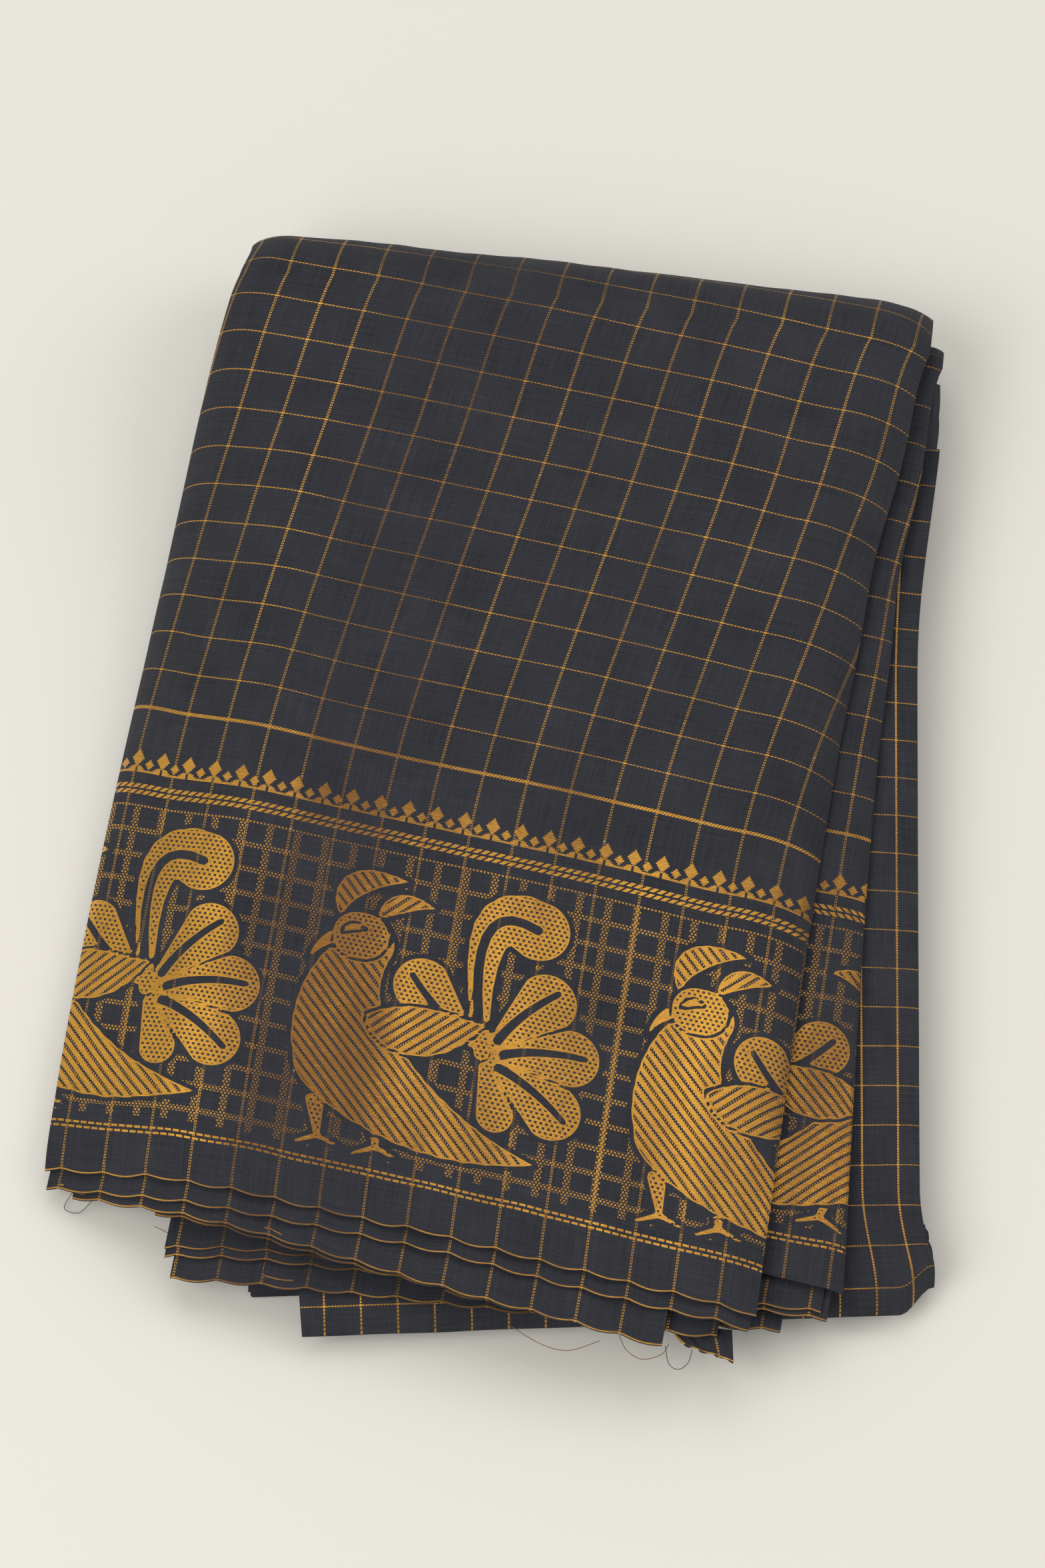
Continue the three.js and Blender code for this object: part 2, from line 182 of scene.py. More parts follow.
def reach_at(across):
    return mix(REACH_LEFT, REACH_RIGHT, across / WIDTH)


def upper_place(point):
    """The place (across, share) in the upper half that lies at a plan point."""
    across, share = WIDTH / 2, 0.5
    for _ in range(5):
        straight = point + OUTWARD * (share - 1) * fold_bow(across) + upper_bow(across, share)
        share = from_fold(straight) / reach_at(across)
        row = mix(ALONG, SELVEDGE_LINE, share)
        start = mix(FOLD_LEFT, SELVEDGE_LEFT, share)
        across = dot(straight - start, row) / np.abs(row) ** 2
    return across, share


def support(point):
    """1 where the lower half holds the upper one up, 0 where it has come down to the table."""
    top, end = FOLD_LEFT.imag, REAR_LEFT.imag
    share = np.clip((top - np.imag(point)) / (top - end), 0, 1)
    lower_edge = mix(FOLD_LEFT.real, SLUMP_END, share)
    held = ease((np.real(point) - lower_edge + SLUMP) / (SLUMP + 18))
    return 1 - (1 - held) * ease(from_fold(point) / 90)


def middle(point):
    """Height of the face between the two halves."""
    settle = (1 - np.clip(from_fold(point) / REACH, 0, 1)) ** 1.6
    return mix(END_MIDDLE, FOLD_RADIUS, settle) * support(point)


def upper_thickness(point):
    """Thickness of the upper half's stack."""
    q = np.clip(from_fold(point) / REACH, 0, 1)
    hump = 1.6 * np.sin(math.pi * np.clip(q / 0.4, 0, 1))
    thin = 0.4 * ease(q / 0.4) * (1 - ease(upper_place(point)[0] / 42))
    return (mix(END_UPPER, FOLD_RADIUS, (1 - q) ** 1.6) + hump) * (1 - thin)


def swell(point):
    """Height of the broad troughs and ridges."""
    q, across = from_fold(point), upper_place(point)[0]
    total = 0.0
    for place, first, last, width, height in SWELLS:
        reach = ease((q - first) / 60) * ease((last - q) / 60)
        total = total + height * reach * np.exp(-(((across - place) / width) ** 2))
    return total


def upper_top(point):
    return middle(point) + upper_thickness(point) + swell(point)


# ---- Rolled side edges ----
ROLL_TIGHTNESS = 0.95
FULL_ROLL = 1 - math.sqrt(1 - ROLL_TIGHTNESS**2)


def roll_drop(distance, reach, drop):
    """Drop of a rounded edge at a distance inside it."""
    inside = np.clip(1 - distance / reach, 0, 1) * ROLL_TIGHTNESS
    return drop * (1 - np.sqrt(1 - inside * inside)) / FULL_ROLL


def panel_drop(kind, t, across):
    """How far the outer cloth drops towards its two side folds, at a station of the hairpin."""
    turn = ease(t / (0.8 * math.pi))
    opened = ease((t - 0.4) / 0.6)
    settled = ease(t / 0.25)
    left_drop = np.select(
        [kind == UPPER, kind == FOLD], [mix(mix(5, 7.5, settled), 2, opened), mix(5, 0, turn)], 0.0
    )
    right_reach = np.select([kind == UPPER, kind == FOLD], [mix(mix(16, 24, settled), 13, opened), 16.0], 6.0)
    right_drop = np.select(
        [kind == UPPER, kind == FOLD], [mix(mix(6, 10, settled), 2.6, opened), mix(6, 0, turn)], 0.0
    )
    return roll_drop(across, 12.0, left_drop) + roll_drop(WIDTH - across, right_reach, right_drop)


def side_drift(kind, t, across):
    """How far the folded edges wander: small steps at the fold's left corner, bumps on the right."""
    turn = np.select([kind == UPPER, kind == FOLD], [-t * REACH / FOLD_RADIUS, t], math.pi)
    corner = ease((turn + 0.4) / 1.5) * ease((3.1 - turn) / 0.9)
    steps = corner * (2.0 + 0.9 * np.abs(np.sin(turn * 3.6))) * ease(1 - across / 20)
    wave = np.sin(t * 29 + 1.2) * ease(1 - t / 0.5)
    bumps = np.select([kind == UPPER, kind == FOLD], [wave, 0.9 + 0 * t], 0.0)
    return steps - 0.9 * bumps * ease(1 - (WIDTH - across) / 24)


def hairpin(kind, t, across, depth):
    """Points (x, y, z) at stations of the hairpin, a distance across and a depth under its cloth."""
    across = across + side_drift(kind, t, across)
    upper = upper_plan(across, t)
    radius = FOLD_RADIUS - depth
    fold = fold_plan(across) + OUTWARD * radius * np.sin(t)
    lower = lower_plan(across, t)
    plan = np.select([kind == UPPER, kind == FOLD], [upper, fold], lower)
    height = np.select(
        [kind == UPPER, kind == FOLD],
        [upper_top(upper) - depth, FOLD_RADIUS + radius * np.cos(t)],
        depth,
    )
    return at_height(plan, height)


def inner_depth(kind, t, across):
    """Depth of the innermost layer under the outer cloth."""
    upper = upper_plan(across, t)
    lower = lower_plan(across, t)
    return np.select(
        [kind == UPPER, kind == FOLD],
        [upper_top(upper) - middle(upper) - HALF_GAP, FOLD_RADIUS - HALF_GAP],
        middle(lower) - HALF_GAP - rear_drop(t, across),
    )


def ledge_depth(kind, t, across):
    """Depth of the step between the two groups of layers."""
    side = mix(panel_drop(kind, t, 0.0), panel_drop(kind, t, WIDTH), np.clip(across / WIDTH, 0, 1))
    return mix(side + 3, inner_depth(kind, t, across), 0.5)


def group_sides(kind, t, second):
    """Left and right side of the first or second group of layers, across from the front panel's."""
    upper_out = mix(4, 23, t**1.15)
    lower_out = ease(t / 0.3)
    if not second:
        return 0 * t, WIDTH + 0 * t
    left = np.select([kind == UPPER, kind == FOLD], [upper_out * 0.9, -3.0], mix(-3, 16 * t, lower_out))
    right = np.select([kind == UPPER, kind == FOLD], [upper_out, 4.0], mix(4, 0.6, lower_out))
    return left, WIDTH + right


def rear_drop(t, across):
    """How far the lower half's upper cloth drops at its end and its right side."""
    right = group_sides(LOWER, t, True)[1]
    opened = ease((t - 0.3) / 0.2)
    return (roll_drop((1 - t) * REACH, 9, 1) + roll_drop(right - across, 8, 0.8)) * opened


NOSE_REACH = 11.0  # the lower half's cloth rolls down at its front end
NOSE_DROP = 6.0


def nose_back(drop):
    """How far behind the lower half's end its cloth lies, where it has dropped by an amount."""
    left = 1 - np.clip(drop / NOSE_DROP, 0, 1) * FULL_ROLL
    inside = np.sqrt(1 - left * left) / ROLL_TIGHTNESS
    return NOSE_REACH * (1 - np.clip(inside, 0, 1))


def corner_back(across, t):
    """How far the lower half's right front corner is tucked back."""
    return 7.5 * ease((across - WIDTH + 9.5) / 10) * ease((t - 0.93) / 0.07)


def stations(*runs):
    """Kinds and parameters of runs of stations: (kind, first, last, steps), ends shared."""
    kinds, values = [], []
    for kind, first, last, steps in runs:
        for i in range(steps + 1):
            kinds.append(kind)
            values.append(mix(first, last, i / steps))
    return np.array(kinds)[:, None], np.array(values)[:, None]


# ---- Meshes ----
def clear_selection():
    for piece in bpy.context.selected_objects:
        piece.select_set(False)


def choose(piece):
    """Makes a piece the only one that the next operators work on."""
    clear_selection()
    piece.select_set(True)
    bpy.context.view_layer.objects.active = piece


def in_part(points):
    """Draft points in millimetres as the part's own, in metres."""
    return (points - np.array([CENTRE.real, CENTRE.imag, 0])) * MM


def new_piece(name, points, faces, uv, extra):
    """A mesh object with its place in the weave as the UV map 'cloth' and its point values."""
    mesh = bpy.data.meshes.new(name)
    mesh.from_pydata(in_part(points).tolist(), [], faces)
    layer = mesh.uv_layers.new(name="cloth")
    loops = np.empty(len(mesh.loops), dtype=np.int64)
    mesh.loops.foreach_get("vertex_index", loops)
    layer.data.foreach_set("uv", (uv[loops] * MM).astype(np.float32).ravel())
    for key, values in extra.items():
        attribute = mesh.attributes.new(key, "FLOAT", "POINT")
        attribute.data.foreach_set("value", values.astype(np.float32).ravel())
    piece = bpy.data.objects.new(name, mesh)
    bpy.context.scene.collection.objects.link(piece)
    return piece


def cloth_object(name, points, uv, extra=None):
    """A grid of points as cloth."""
    rows, columns = points.shape[:2]
    index = np.arange(rows * columns).reshape(rows, columns)
    quads = np.stack([index[:-1, :-1], index[:-1, 1:], index[1:, 1:], index[1:, :-1]], axis=-1)
    faces = quads.reshape(-1, 4).tolist()
    return new_piece(name, points.reshape(-1, 3), faces, uv.reshape(-1, 2), extra or {})


def finish_cloth(piece, wall, material):
    """Gives a sheet its thickness, a smooth finish and its material."""
    choose(piece)
    solid = piece.modifiers.new("wall", "SOLIDIFY")
    solid.thickness = wall
    solid.offset = -1
    solid.use_even_offset = False
    bpy.ops.object.modifier_apply(modifier=solid.name)
    bpy.ops.object.shade_smooth_by_angle(angle=math.radians(50))
    piece.data.materials.clear()
    piece.data.materials.append(material)
    piece.select_set(False)


def declare(piece, node):
    """Hangs a piece of cloth under the root empty and hides its imported solid."""
    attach(piece, "root")
    if node:
        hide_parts(node)


# ---- The bird of the border, in a cell 92.8 wide and 88 high: s along the weft, t downwards ----
# A part is drawn with round-ended strokes, each a list of (s, t, radius). Earlier parts lie on
# later ones, with a dark gap round them. Veins are cut into the part that they belong to.
SOLID, FALLING, RISING, DOTTED = 0, 1, 2, 3
PLUME_ROOT = (60, 52)  # where all plumes of the tail meet
LOBE_TURNS = (140, 50, 10, -30)  # degrees above the weft: a lobe for every 40, but at the curl
LOBE_LENGTH = 28.0
LOBE_TIP = 8.5
VEIN = 0.85  # half width of a vein


def curve(start, control, end, first, last, swell=0.0):
    """A stroke along a three-point curve: its first and last radius, and how much it swells."""
    points = []
    for k in np.linspace(0, 1, 10):
        s, t = (mix(mix(a, b, k), mix(b, c, k), k) for a, b, c in zip(start, control, end))
        points.append((s, t, mix(first, last, k) + swell * math.sin(math.pi * k)))
    return points


def from_root(degrees, length):
    """A point of the bird's cell, a length from the plumes' root."""
    turn = math.radians(degrees)
    return PLUME_ROOT[0] + length * math.cos(turn), PLUME_ROOT[1] - length * math.sin(turn)


def lobe(degrees, length=LOBE_LENGTH, tip=LOBE_TIP):
    """A lobe that widens evenly from the plumes' root to a round tip."""
    return [(*from_root(degrees, 4), 2.0), (*from_root(degrees, length - tip / 2), tip)]


def lobe_vein(degrees):
    """A lobe's vein, bowed a little."""
    bow, end = from_root(degrees + 8, 16), from_root(degrees, LOBE_LENGTH)
    return curve(from_root(degrees, 6), bow, end, VEIN, VEIN / 2)


EYE = (SOLID, [curve((18, 26), (20, 23), (24, 24), 0.4, 0.4, 1.0)], [])
HEAD = (DOTTED, [[(22, 26, 7), (24, 26, 7)]], [])
BEAK = (SOLID, [curve((16, 28), (12, 30), (10, 36), 2.4, 0.5)], [])
FRONT_CREST = (FALLING, [curve((17, 22), (14, 8), (34, 8), 0.6, 0.4, 3.4)], [])
BACK_CREST = (RISING, [curve((27, 21), (30, 12), (42, 14), 0.6, 0.4, 2.6)], [])
WING = (RISING, [curve((28, 48), (40, 54), (60, 44), 0.6, 0.5, 7.0)], [])
CURL = curve(PLUME_ROOT, (50, 4), (70, 14), 2.4, 9.0)
CURL_VEIN = curve((58, 43), (50, 6), (70, 14), VEIN, VEIN)
LOWEST_LOBE = lobe(-70, 20, 5.5)
PLUMES = (
    DOTTED,
    [CURL, LOWEST_LOBE] + [lobe(turn) for turn in LOBE_TURNS],
    [CURL_VEIN] + [lobe_vein(turn) for turn in LOBE_TURNS],
)
BODY = (
    FALLING,
    [curve((26, 28), (16, 44), (24, 60), 7.0, 15.0), curve((28, 64), (48, 80), (78, 80), 14.0, 0.6, 1.0)],
    [],
)
LEG = [[(0, 0, 3.0), (2, 10, 1.2)], [(2, 10, 1.2), (-4, 13, 0.8)], [(2, 10, 1.2), (8, 12, 0.8)]]
LEGS = (DOTTED, [[(s + at, t + 75, r) for s, t, r in part] for at in (18, 34) for part in LEG], [])
BIRD = [EYE, HEAD, BEAK, FRONT_CREST, BACK_CREST, WING, PLUMES, BODY, LEGS]


def stroke_distance(s, t, points):
    """Signed distance to a round-ended stroke through (s, t, radius) points."""
    nearest = np.full(np.shape(s), 1e3)
    for (s0, t0, r0), (s1, t1, r1) in zip(points, points[1:]):
        ds, dt = s1 - s0, t1 - t0
        share = np.clip(((s - s0) * ds + (t - t0) * dt) / (ds * ds + dt * dt), 0, 1)
        gap = np.hypot(s - s0 - ds * share, t - t0 - dt * share) - mix(r0, r1, share)
        nearest = np.minimum(nearest, gap)
    return nearest


def part_distance(s, t, strokes, veins):
    """Signed distance to a part of the bird, less its veins, in its own and the next cell."""
    nearest = np.full(np.shape(s), 1e3)
    for cell in (0, BIRD_REPEAT):
        for stroke in strokes:
            nearest = np.minimum(nearest, stroke_distance(s + cell, t, stroke))
    cut = nearest
    for vein in veins:
        cut = np.maximum(cut, -stroke_distance(s, t, vein))
    return nearest, cut


def bird_fields(u, v, shift):
    """Per point: distance into the nearest part of a bird, its stripes' place and its dots."""
    s = np.mod(u - shift, BIRD_REPEAT)
    t = THICK_LINE - v - BAND_TOP
    edge = np.full(np.shape(s), 60.0)
    covered = np.full(np.shape(s), 60.0)
    fill = np.zeros(np.shape(s))
    for kind, strokes, veins in BIRD:
        whole, cut = part_distance(s, t, strokes, veins)
        shown = np.maximum(cut, -covered)
        fill = np.where(shown < edge, kind, fill)
        edge = np.minimum(edge, shown)
        covered = np.minimum(covered, whole)
    falling, rising = (t - s) / math.sqrt(2), (t + s) / math.sqrt(2)
    return {
        "bird_edge": edge,
        "bird_stripe": np.select([fill == FALLING, fill == RISING], [falling, rising], 900.0),
        "bird_dots": np.where(fill == DOTTED, 1.0, 0.0),
    }


# ---- Shader expressions ----
CLOTH_SPECULAR = 0.2  # the dull shine of cotton


class Value:
    """A number socket; arithmetic on it adds Math nodes to its tree."""

    def __init__(self, paint, socket):
        self.paint = paint
        self.socket = socket

    def math(self, operation, *others, clamp=False):
        values = [self, *others]
        return self.paint.node("ShaderNodeMath", {"operation": operation, "use_clamp": clamp}, values)

    def __add__(self, other):
        return self.math("ADD", other)

    __radd__ = __add__

    def __sub__(self, other):
        return self.math("SUBTRACT", other)

    def __rsub__(self, other):
        return -self + other

    def __mul__(self, other):
        return self.math("MULTIPLY", other)

    __rmul__ = __mul__

    def __truediv__(self, other):
        return self.math("DIVIDE", other)

    def __rtruediv__(self, other):
        return self.math("POWER", -1.0) * other

    def __neg__(self):
        return self * -1

    def __lt__(self, other):
        return self.math("LESS_THAN", other)

    def __gt__(self, other):
        return self.math("GREATER_THAN", other)

    def __abs__(self):
        return self.math("ABSOLUTE")

    def clamped(self):
        return self.math("ADD", 0.0, clamp=True)

    def floor(self):
        return self.math("FLOOR")

    def near(self, pitch):
        """Distance to the nearest multiple of the pitch."""
        return self.math("PINGPONG", pitch / 2)

    def most(self, other):
        return self.math("MAXIMUM", other)


class Paint:
    """One material and the nodes in it."""

    def __init__(self, name):
        self.material = bpy.data.materials.new(name)
        self.material.use_nodes = True
        self.tree = self.material.node_tree
        self.tree.nodes.clear()
        surface = self.node("ShaderNodeBsdfPrincipled")
        self.shader = surface.socket.node
        self.node("ShaderNodeOutputMaterial", {}, {"Surface": surface})

    def feed(self, socket, value):
        if isinstance(value, Value):
            self.tree.links.new(value.socket, socket)
        else:
            socket.default_value = value

    def node(self, kind, settings=None, inputs=(), output=0):
        """Adds a node: its settings first, then its sockets by order or by name."""
        made = self.tree.nodes.new(kind)
        for key, value in (settings or {}).items():
            setattr(made, key, value)
        pairs = inputs.items() if isinstance(inputs, dict) else enumerate(inputs)
        for key, value in pairs:
            self.feed(made.inputs[key], value)
        return Value(self, made.outputs[output]) if made.outputs else None

    def attribute(self, name):
        return self.node("ShaderNodeAttribute", {"attribute_name": name}, output="Fac")

    def cloth_place(self):
        """The place in the weave, in millimetres: along the weft, and up from the selvedge."""
        uv = self.node("ShaderNodeUVMap", {"uv_map": "cloth"})
        return [self.node("ShaderNodeSeparateXYZ", {}, [uv], axis) * 1000 for axis in (0, 1)]

    def place(self, u, v, w=0.0):
        return self.node("ShaderNodeCombineXYZ", {}, [u, v, w])

    def noise(self, vector, scale, detail=2.0, rough=0.5):
        settings = {"Vector": vector, "Scale": scale, "Detail": detail, "Roughness": rough}
        return self.node("ShaderNodeTexNoise", {}, settings, output="Fac")

    def colours(self, share, low, high):
        return self.node("ShaderNodeMix", {"data_type": "RGBA"}, {0: share, 6: low, 7: high}, 2)

    def finish(self, colour, roughness, metallic=0.0, normal=None, specular=0.5):
        """Feeds the shader and gives its material."""
        inputs = self.shader.inputs
        self.feed(inputs["Base Color"], colour)
        self.feed(inputs["Roughness"], roughness)
        self.feed(inputs["Metallic"], metallic)
        if normal:
            self.feed(inputs["Normal"], normal)
        inputs["Specular IOR Level"].default_value = specular
        return self.material

    def bump(self, height, strength, distance):
        inputs = {"Strength": strength, "Distance": distance, "Height": height}
        return self.node("ShaderNodeBump", {}, inputs, output="Normal")


def either(*masks):
    """1 where any of the masks is."""
    total = masks[0]
    for mask in masks[1:]:
        total = total.most(mask)
    return total


def check_masks(u, w):
    """The dotted pair of gold warp threads, the rope-like gold weft and where they cross."""
    to_warp = (u - FIRST_WARP).near(CHECK)
    to_weft = w.near(CHECK)
    field = w < -3
    pair = (abs(to_warp - 0.2) < 0.1) * (w.near(0.8) < 0.24)
    rope = (to_weft < 0.17) * ((u + w * 1.4).near(1.0) < 0.33) * field
    cross = (to_warp < 0.45) * (to_weft < 0.26) * field
    return pair, rope, cross


def border_masks(u, w):
    """Gold of the border's narrow bands: thick line, temples, rope and the double dashes."""
    thick = (abs(w) < 0.5) * ((u + w * 0.8).near(0.9) < 0.33)
    to_tall = u.near(CELL_ACROSS)
    to_low = CELL_ACROSS / 2 - to_tall
    row = ((w - TEMPLE) / 0.55).floor() * 0.55
    tall = (to_tall / 1.9 + abs(row + 1.1) / 2.5) < 1
    feet = (abs(w - (TEMPLE + 2.3)) < 0.9) * (to_tall < (row * 1.1 + 0.1)) * (to_tall > 0.35)
    low = (to_low / 1.3 + abs(row - 0.55) / 1.5) < 1
    sole = (abs(w - (TEMPLE + 2.9)) < 0.3) * (to_low < 1.2)
    turned = u * 0.9 + w
    strands = either(
        (abs(w - (ROPE - 0.85)) < 0.6) * (turned.near(1.9) < 0.62),
        (abs(w - (ROPE + 0.95)) < 0.6) * ((turned + 0.9).near(1.9) < 0.62),
    )
    dashes = either(
        (abs(w - (DASHES - 1.0)) < 0.32) * (u.near(2.2) < 0.85),
        (abs(w - (DASHES + 0.4)) < 0.32) * ((u + 1.1).near(2.2) < 0.85),
    )
    lines = w.near(0.55) < 0.2
    return thick, either(tall, feet, low, sole) * lines.most(0.55), either(strands, dashes)


def net_mask(u, w):
    """The dotted net behind the birds: staggered dots in rows and columns."""
    down = w - BAND_TOP
    rows = (down / 0.8).floor()
    dots = ((u + rows * 0.5).near(1.0) < 0.26) * (down.near(0.8) > 0.14)
    lines = either((u - FIRST_WARP).near(CELL_ACROSS) < 1.0, down.near(CELL_DOWN) < 0.8)
    inside = (w > BAND_TOP) * (w < BAND_END + 0.4)
    return dots * lines * inside


def bird_masks(paint, u, w):
    """Gold of the birds, and the dark margin round them."""
    edge = paint.attribute("bird_edge")
    stripe = paint.attribute("bird_stripe")
    dotted = paint.attribute("bird_dots") > 0.5
    band = (w > BAND_TOP - 0.4) * (w < BAND_END + 0.6)
    body = (edge < -0.45) * band
    deep = edge < -0.9
    stitches = (u + (w / 0.55).floor() * 0.6).near(1.2) < 0.47
    stripes = (stripe.near(2.2) < 0.45) * stitches * (stripe < 300)
    courses = (w / 1.25).floor()
    dots = (w.near(1.25) > 0.3) * ((u + courses * 0.75).near(1.5) < 0.36) * dotted
    return body * (1 - either(stripes, dots) * deep), (edge < 0.9) * band


def cotton_paint(name, colours, border=True, birds=False):
    """Dark plain-woven cotton with gold checks, and the border where the piece has it. The gold's colour
    carries painted sheen bands and a painted highlight.
    """
    paint = Paint(name)
    u, v = paint.cloth_place()
    w = THICK_LINE - v
    # Strength of the painted highlight on the metal thread, stored on each piece's points.
    painted_highlight = paint.attribute("painted_highlight")
    pair, rope, cross = check_masks(u, w)
    if not border:
        pair = (abs((u - FIRST_WARP).near(CHECK)) < 0.3) * (w.near(0.8) < 0.3)
    gold = either(pair, rope * 0.9, cross)
    raised = rope
    if border:
        thick, temples, bands = border_masks(u, w)
        raised = either(raised, thick, temples, bands)
        yarn = abs(v - 0.3) < 0.17
        gold = either(gold, thick, temples, bands, yarn * 0.8)
    if birds:
        body, margin = bird_masks(paint, u, w)
        net = net_mask(u, w) * (1 - margin)
        raised = either(raised, body)
        gold = either(gold * (1 - margin * 0.6), net * 0.85, body)
    across = paint.noise(paint.place(u * 0.06, v * 1.9), 1.0, 3.0)
    along = paint.noise(paint.place(u * 1.9, v * 0.06), 1.0, 3.0)
    patch = paint.noise(paint.place(u * 0.045, v * 0.045), 1.0, 4.0, 0.6)
    # Darker and paler streaks along the yarns and broad blotches, at random, mix the two cotton tones.
    cotton_streaks = (across * 0.8 + along * 0.8 + patch * 0.7 - 0.68).clamped()
    cotton = paint.colours(cotton_streaks, colours.cotton_deep[:], colours.cotton_pale[:])
    specks = paint.noise(paint.place(u * 0.5, v * 0.45, 7.0), 1.0, 1.0)
    slub = (specks > 0.7) * ((u - FIRST_WARP).near(CHECK) < 0.32) * (w.near(4.0) < 0.3)
    cotton = paint.colours(slub * 0.75, cotton, colours.slub[:])
    thread = paint.noise(paint.place(u * 0.35, v * 3.2, 3.0), 1.0, 2.0)
    # Painted sheen: broad soft bands of lighter and darker gold, painted in for the shade of soft folds.
    painted_sheen_bands = paint.noise(paint.place(u * 0.07, v * 0.02, 5.0), 1.0, 1.0)
    # The gold's tone: random thread tone, the painted sheen bands and the painted highlight lift it from the
    # deep towards the bright zari colour.
    tone = (thread * 0.9 + painted_sheen_bands * 0.8 - 0.85 + painted_highlight * 0.72).clamped()
    zari = paint.colours(tone, colours.zari_deep[:], colours.zari_bright[:])
    yarns = u.near(0.46) + v.near(0.46)
    height = yarns * 0.9 + across * 0.5 + along * 0.5 + raised * 0.5
    paint.shader.inputs["Sheen Weight"].default_value = 0.04
    normal = paint.bump(height, 0.4, 0.00025)
    colour = paint.colours(gold, cotton, zari)
    return paint.finish(colour, 0.9 - gold * 0.48, gold * 0.8, normal, CLOTH_SPECULAR)


def edge_paint(name, colours):
    """The folded edges of the hidden layers, one tone a layer, with ends of the gold checks."""
    paint = Paint(name)
    u, v = paint.cloth_place()
    layer = paint.attribute("layer")
    tone = paint.noise(paint.place(layer * 3.7, v * 0.02, u * 0.02), 1.0, 2.0)
    cotton = paint.colours(tone, colours.cotton_deep[:], colours.cotton_pale[:])
    jog = paint.noise(paint.place(layer * 5.3, 0.0), 1.0, 0.0) * 9
    shown = paint.noise(paint.place(layer * 2.1, v * 0.2), 1.0) > 0.5
    ends = either((v + jog).near(CHECK) < 0.25, (u + jog).near(CHECK) < 0.25) * shown
    fibres = paint.noise(paint.place(u * 2.0, v * 2.0, layer), 1.0, 3.0)
    normal = paint.bump(fibres, 0.4, 0.0003)
    colour = paint.colours(ends * 0.7, cotton, colours.zari_deep[:])
    return paint.finish(colour, 0.9 - ends * 0.4, ends * 0.6, normal, CLOTH_SPECULAR)


def thread_paint(name, colour):
    """One plain loose thread."""
    return Paint(name).finish(colour[:], 0.7)


def paper_paint(name, colours):
    """Matt pale paper with a faint tooth."""
    paint = Paint(name)
    coordinates = paint.node("ShaderNodeTexCoord", output="Object")
    tooth = paint.noise(coordinates, 900.0, 3.0)
    return paint.finish(colours.paper[:], 0.9, normal=paint.bump(tooth, 0.05, 0.0002))


def material(name):
    """The named finish, made the first time that it is asked for."""
    colours = bpy.context.scene.saree_colours
    if name in bpy.data.materials:
        return bpy.data.materials[name]
    if name == "layer_edges":
        return edge_paint(name, colours)
    if name == "paper":
        return paper_paint(name, colours)
    if name == "gold_thread":
        return thread_paint(name, colours.zari_deep)
    if name == "dark_thread":
        return thread_paint(name, colours.cotton_pale)
    return cotton_paint(name, colours, border=name != "field_cloth", birds=name == "border_cloth")


# ---- Pieces ----
def weave_place(kind, t, across):
    """Where a point of the front panel lies in the weave: along the weft, and from the selvedge."""
    reach = reach_at(across)
    share = np.where(kind == UPPER, t, 0.0)
    distance = share * reach
    turn = ease((share - 0.1) / 0.35)
    line = 132.5 - 10 * turn * np.exp(-across / 22) + 0.095 * across
    above = (distance - line) * CHECK_SHORTENED
    below = (distance - line) * THICK_LINE / (reach - line)
    v = THICK_LINE - np.where(distance < line, above, below)
    beyond = np.select([kind == UPPER, kind == FOLD], [0.0, FOLD_RADIUS * t], FOLD_RADIUS * math.pi + t * 290)
    past = np.clip(share - LEAN_END, 0, LEAN_FADE)
    lean = GRAIN_LEAN * (np.minimum(share, LEAN_END) + past - past * past / (2 * LEAN_FADE))
    lean = lean - np.select([kind == UPPER, kind == FOLD], [0.0, 1.6 * t], 1.6 * math.pi)
    spread = FOLD_SPREAD * (across - mix(36, 8, ease(share / 0.18))) * (1 - ease((share - 0.15) / 0.45))
    return across + lean - spread, v + beyond


def highlight_across_width(across):
    """Strength of the painted highlight on the metal thread: 1 near the panel's sides, where the thread is
    painted as catching the light, and less between them.
    """
    middle_part = ease((across - 32) / 26) * ease((156 - across) / 16) * (1 - 0.5 * ease((across - 76) / 20))
    right_part = 0.34 * ease((across - 140) / 20) + 0.36 * ease((across - WIDTH + 16) / 14)
    return (1 - middle_part) * (1 - right_part)


def crumpled(u, v, seed):
    """Small unevenness of pressed cotton, more of it near the selvedge."""
    fine = 0.2 * waves(u, v, seed, 34) + 0.06 * waves(u, v, seed + 1, 11)
    return fine + ease(1 - v / 30) * 0.4 * waves(u, v * 0.6, seed + 2, 17)


FOLD_SPREAD = 0.046  # the cloth is smoothed out this much wider over the fold
PANEL_BIRD = 64.0  # where a bird's cell starts along the weft
SECOND_BIRD = -4.1
SECOND_WEAVE = 240.0  # the second fold's cloth runs the other way along the weft, from here
SECOND_PAINTED_HIGHLIGHT = 0.24  # painted highlight on the second fold's metal thread, on the scale of the painted highlight across the width
# Painted highlight on the rear panel's metal thread, on the same scale.
REAR_PAINTED_HIGHLIGHT = 0.5


